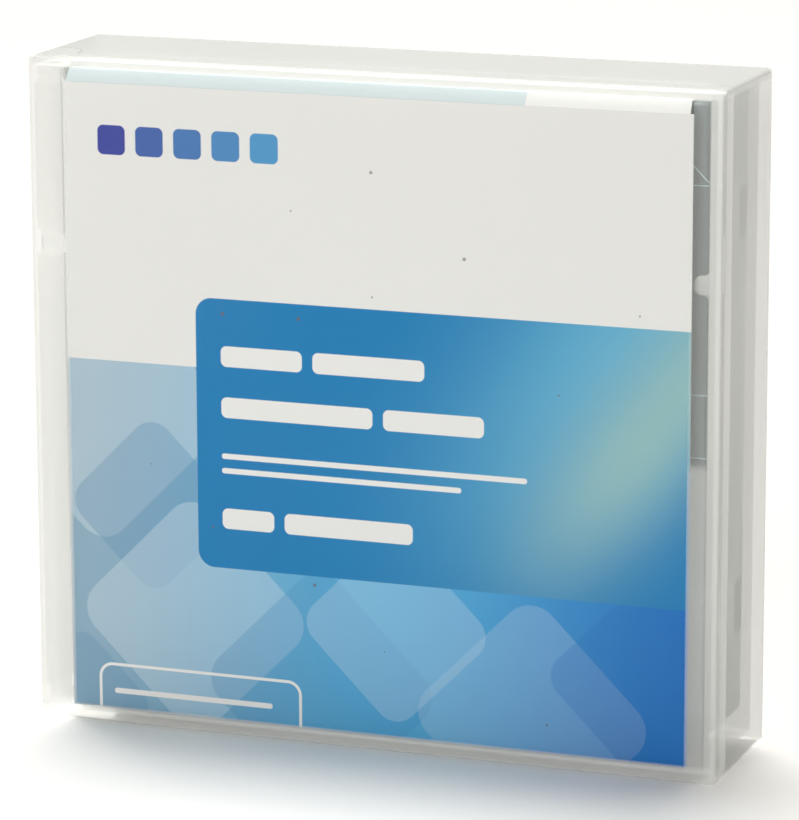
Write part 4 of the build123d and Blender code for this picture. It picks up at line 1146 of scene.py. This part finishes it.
class CARTRIDGE_OT_case(bpy.types.Operator):
    """Give the lid and the base their milky plastic"""

    bl_idname = "cartridge.case"
    bl_label = "Finish the case"

    def execute(self, context):
        look = context.scene.cartridge_case
        dress(milky_base(look), "case_base")
        dress(milky_lid(look), "case_lid")
        # Milky walls scatter light and don't block it, so they cast no shadow
        for node in ("case_base", "case_lid"):
            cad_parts[node].visible_shadow = False
        return {"FINISHED"}


class CARTRIDGE_OT_card(bpy.types.Operator):
    """Print the card behind the lid"""

    bl_idname = "cartridge.card"
    bl_label = "Print the card"

    def execute(self, context):
        dress(printed_card(context.scene.cartridge_card), "inlay_card")
        return {"FINISHED"}


class CARTRIDGE_OT_shells(bpy.types.Operator):
    """Finish the cartridge's shells, door, switch and screws"""

    bl_idname = "cartridge.shells"
    bl_label = "Finish the shells"

    def execute(self, context):
        look = context.scene.cartridge_body
        middle = (SHELL_LOW[2] + SHELL_HIGH[2]) / 2
        # Heights of the thin bright lines on the upper shell's bare strip
        strip_line_heights = [middle + rise * MM for rise in BRIGHT_LINE_RISES]
        shell = tuple(look.shell)
        dress(satin_plastic("upper_plastic", shell, 0.5, strip_line_heights), "upper_shell")
        dress(satin_plastic("shell_plastic", shell, 0.5), "lower_shell", "cartridge_door")
        switch = satin_plastic("switch_plastic", tuple(look.switch), 0.4)
        dress(switch, "write_protect_switch")
        dress(turned_steel("screw_steel", tuple(look.steel), False), "shell_screws")
        return {"FINISHED"}


class CARTRIDGE_OT_reel(bpy.types.Operator):
    """Finish the reel, its brake and the wound tape"""

    bl_idname = "cartridge.reel"
    bl_label = "Finish the reel"

    def execute(self, context):
        look = context.scene.cartridge_body
        reel = satin_plastic("inner_plastic", tuple(look.reel), 0.45)
        dress(reel, "reel_hub", "reel_flange", "release_plate")
        dark = satin_plastic("dark_plastic", tuple(look.brake), 0.4)
        dress(dark, "brake_button", "leader_pin_clip")
        dress(wound_film(tuple(look.film)), "tape_pack", "leader_tape")
        dress(turned_steel("turned_steel", tuple(look.steel), True), "reel_disc")
        wire = turned_steel("spring_steel", tuple(look.steel), False)
        dress(wire, "leader_pin_spring", "leader_pin")
        dress(lacquered_board(tuple(look.board)), "memory_module")
        return {"FINISHED"}


class CARTRIDGE_OT_springs(bpy.types.Operator):
    """Copy the two coil springs into smooth steel pieces of their own"""

    bl_idname = "cartridge.springs"
    bl_label = "Wind the springs"

    def execute(self, context):
        wire = turned_steel("coil_steel", tuple(context.scene.cartridge_body.steel), False)
        for node, name, joint, axis in (
            ("brake_spring", "brake_coil", "brake_lift", 1),
            ("door_spring", "door_coil", "door_slide", 0),
        ):
            coil = wind_coil(node, name)
            coil.data.materials.clear()
            coil.data.materials.append(wire)
        return {"FINISHED"}


class CARTRIDGE_PT_looks(bpy.types.Panel):
    """Lists the steps that finish the cartridge"""

    bl_idname = "CARTRIDGE_PT_looks"
    bl_label = "Cleaning Cartridge"
    bl_space_type = "VIEW_3D"
    bl_region_type = "UI"
    bl_category = "Cartridge"

    def draw(self, context):
        layout = self.layout
        scene = context.scene
        for operator in OPERATORS:
            layout.operator(operator.bl_idname)
        for group in (
            scene.cartridge_case,
            scene.cartridge_card,
            scene.cartridge_body,
            scene.cartridge_studio,
        ):
            box = layout.box()
            for name in group.__annotations__:
                box.prop(group, name)


OPERATORS = (
    CARTRIDGE_OT_stage,
    CARTRIDGE_OT_case,
    CARTRIDGE_OT_card,
    CARTRIDGE_OT_shells,
    CARTRIDGE_OT_reel,
    CARTRIDGE_OT_springs,
)

CLASSES = (CaseLook, CardPrint, CartridgeLook, StudioSetup, *OPERATORS, CARTRIDGE_PT_looks)


def register():
    for cls in CLASSES:
        bpy.utils.register_class(cls)
    scene = bpy.types.Scene
    scene.cartridge_case = bpy.props.PointerProperty(type=CaseLook)
    scene.cartridge_card = bpy.props.PointerProperty(type=CardPrint)
    scene.cartridge_body = bpy.props.PointerProperty(type=CartridgeLook)
    scene.cartridge_studio = bpy.props.PointerProperty(type=StudioSetup)


def unregister():
    scene = bpy.types.Scene
    del scene.cartridge_case
    del scene.cartridge_card
    del scene.cartridge_body
    del scene.cartridge_studio
    for cls in reversed(CLASSES):
        bpy.utils.unregister_class(cls)


def build_groups():
    """Builds the shader groups that the materials share."""
    build_printed_patch()
    build_printed_glow()
    build_moulded_grain()
    build_handling_marks()
    build_specks()
    build_turned_rings()


def main():
    """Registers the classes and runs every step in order."""
    register()
    build_groups()
    bpy.ops.cartridge.stage()
    bpy.ops.cartridge.case()
    bpy.ops.cartridge.card()
    bpy.ops.cartridge.shells()
    bpy.ops.cartridge.reel()
    bpy.ops.cartridge.springs()


if __name__ == "__main__":
    main()
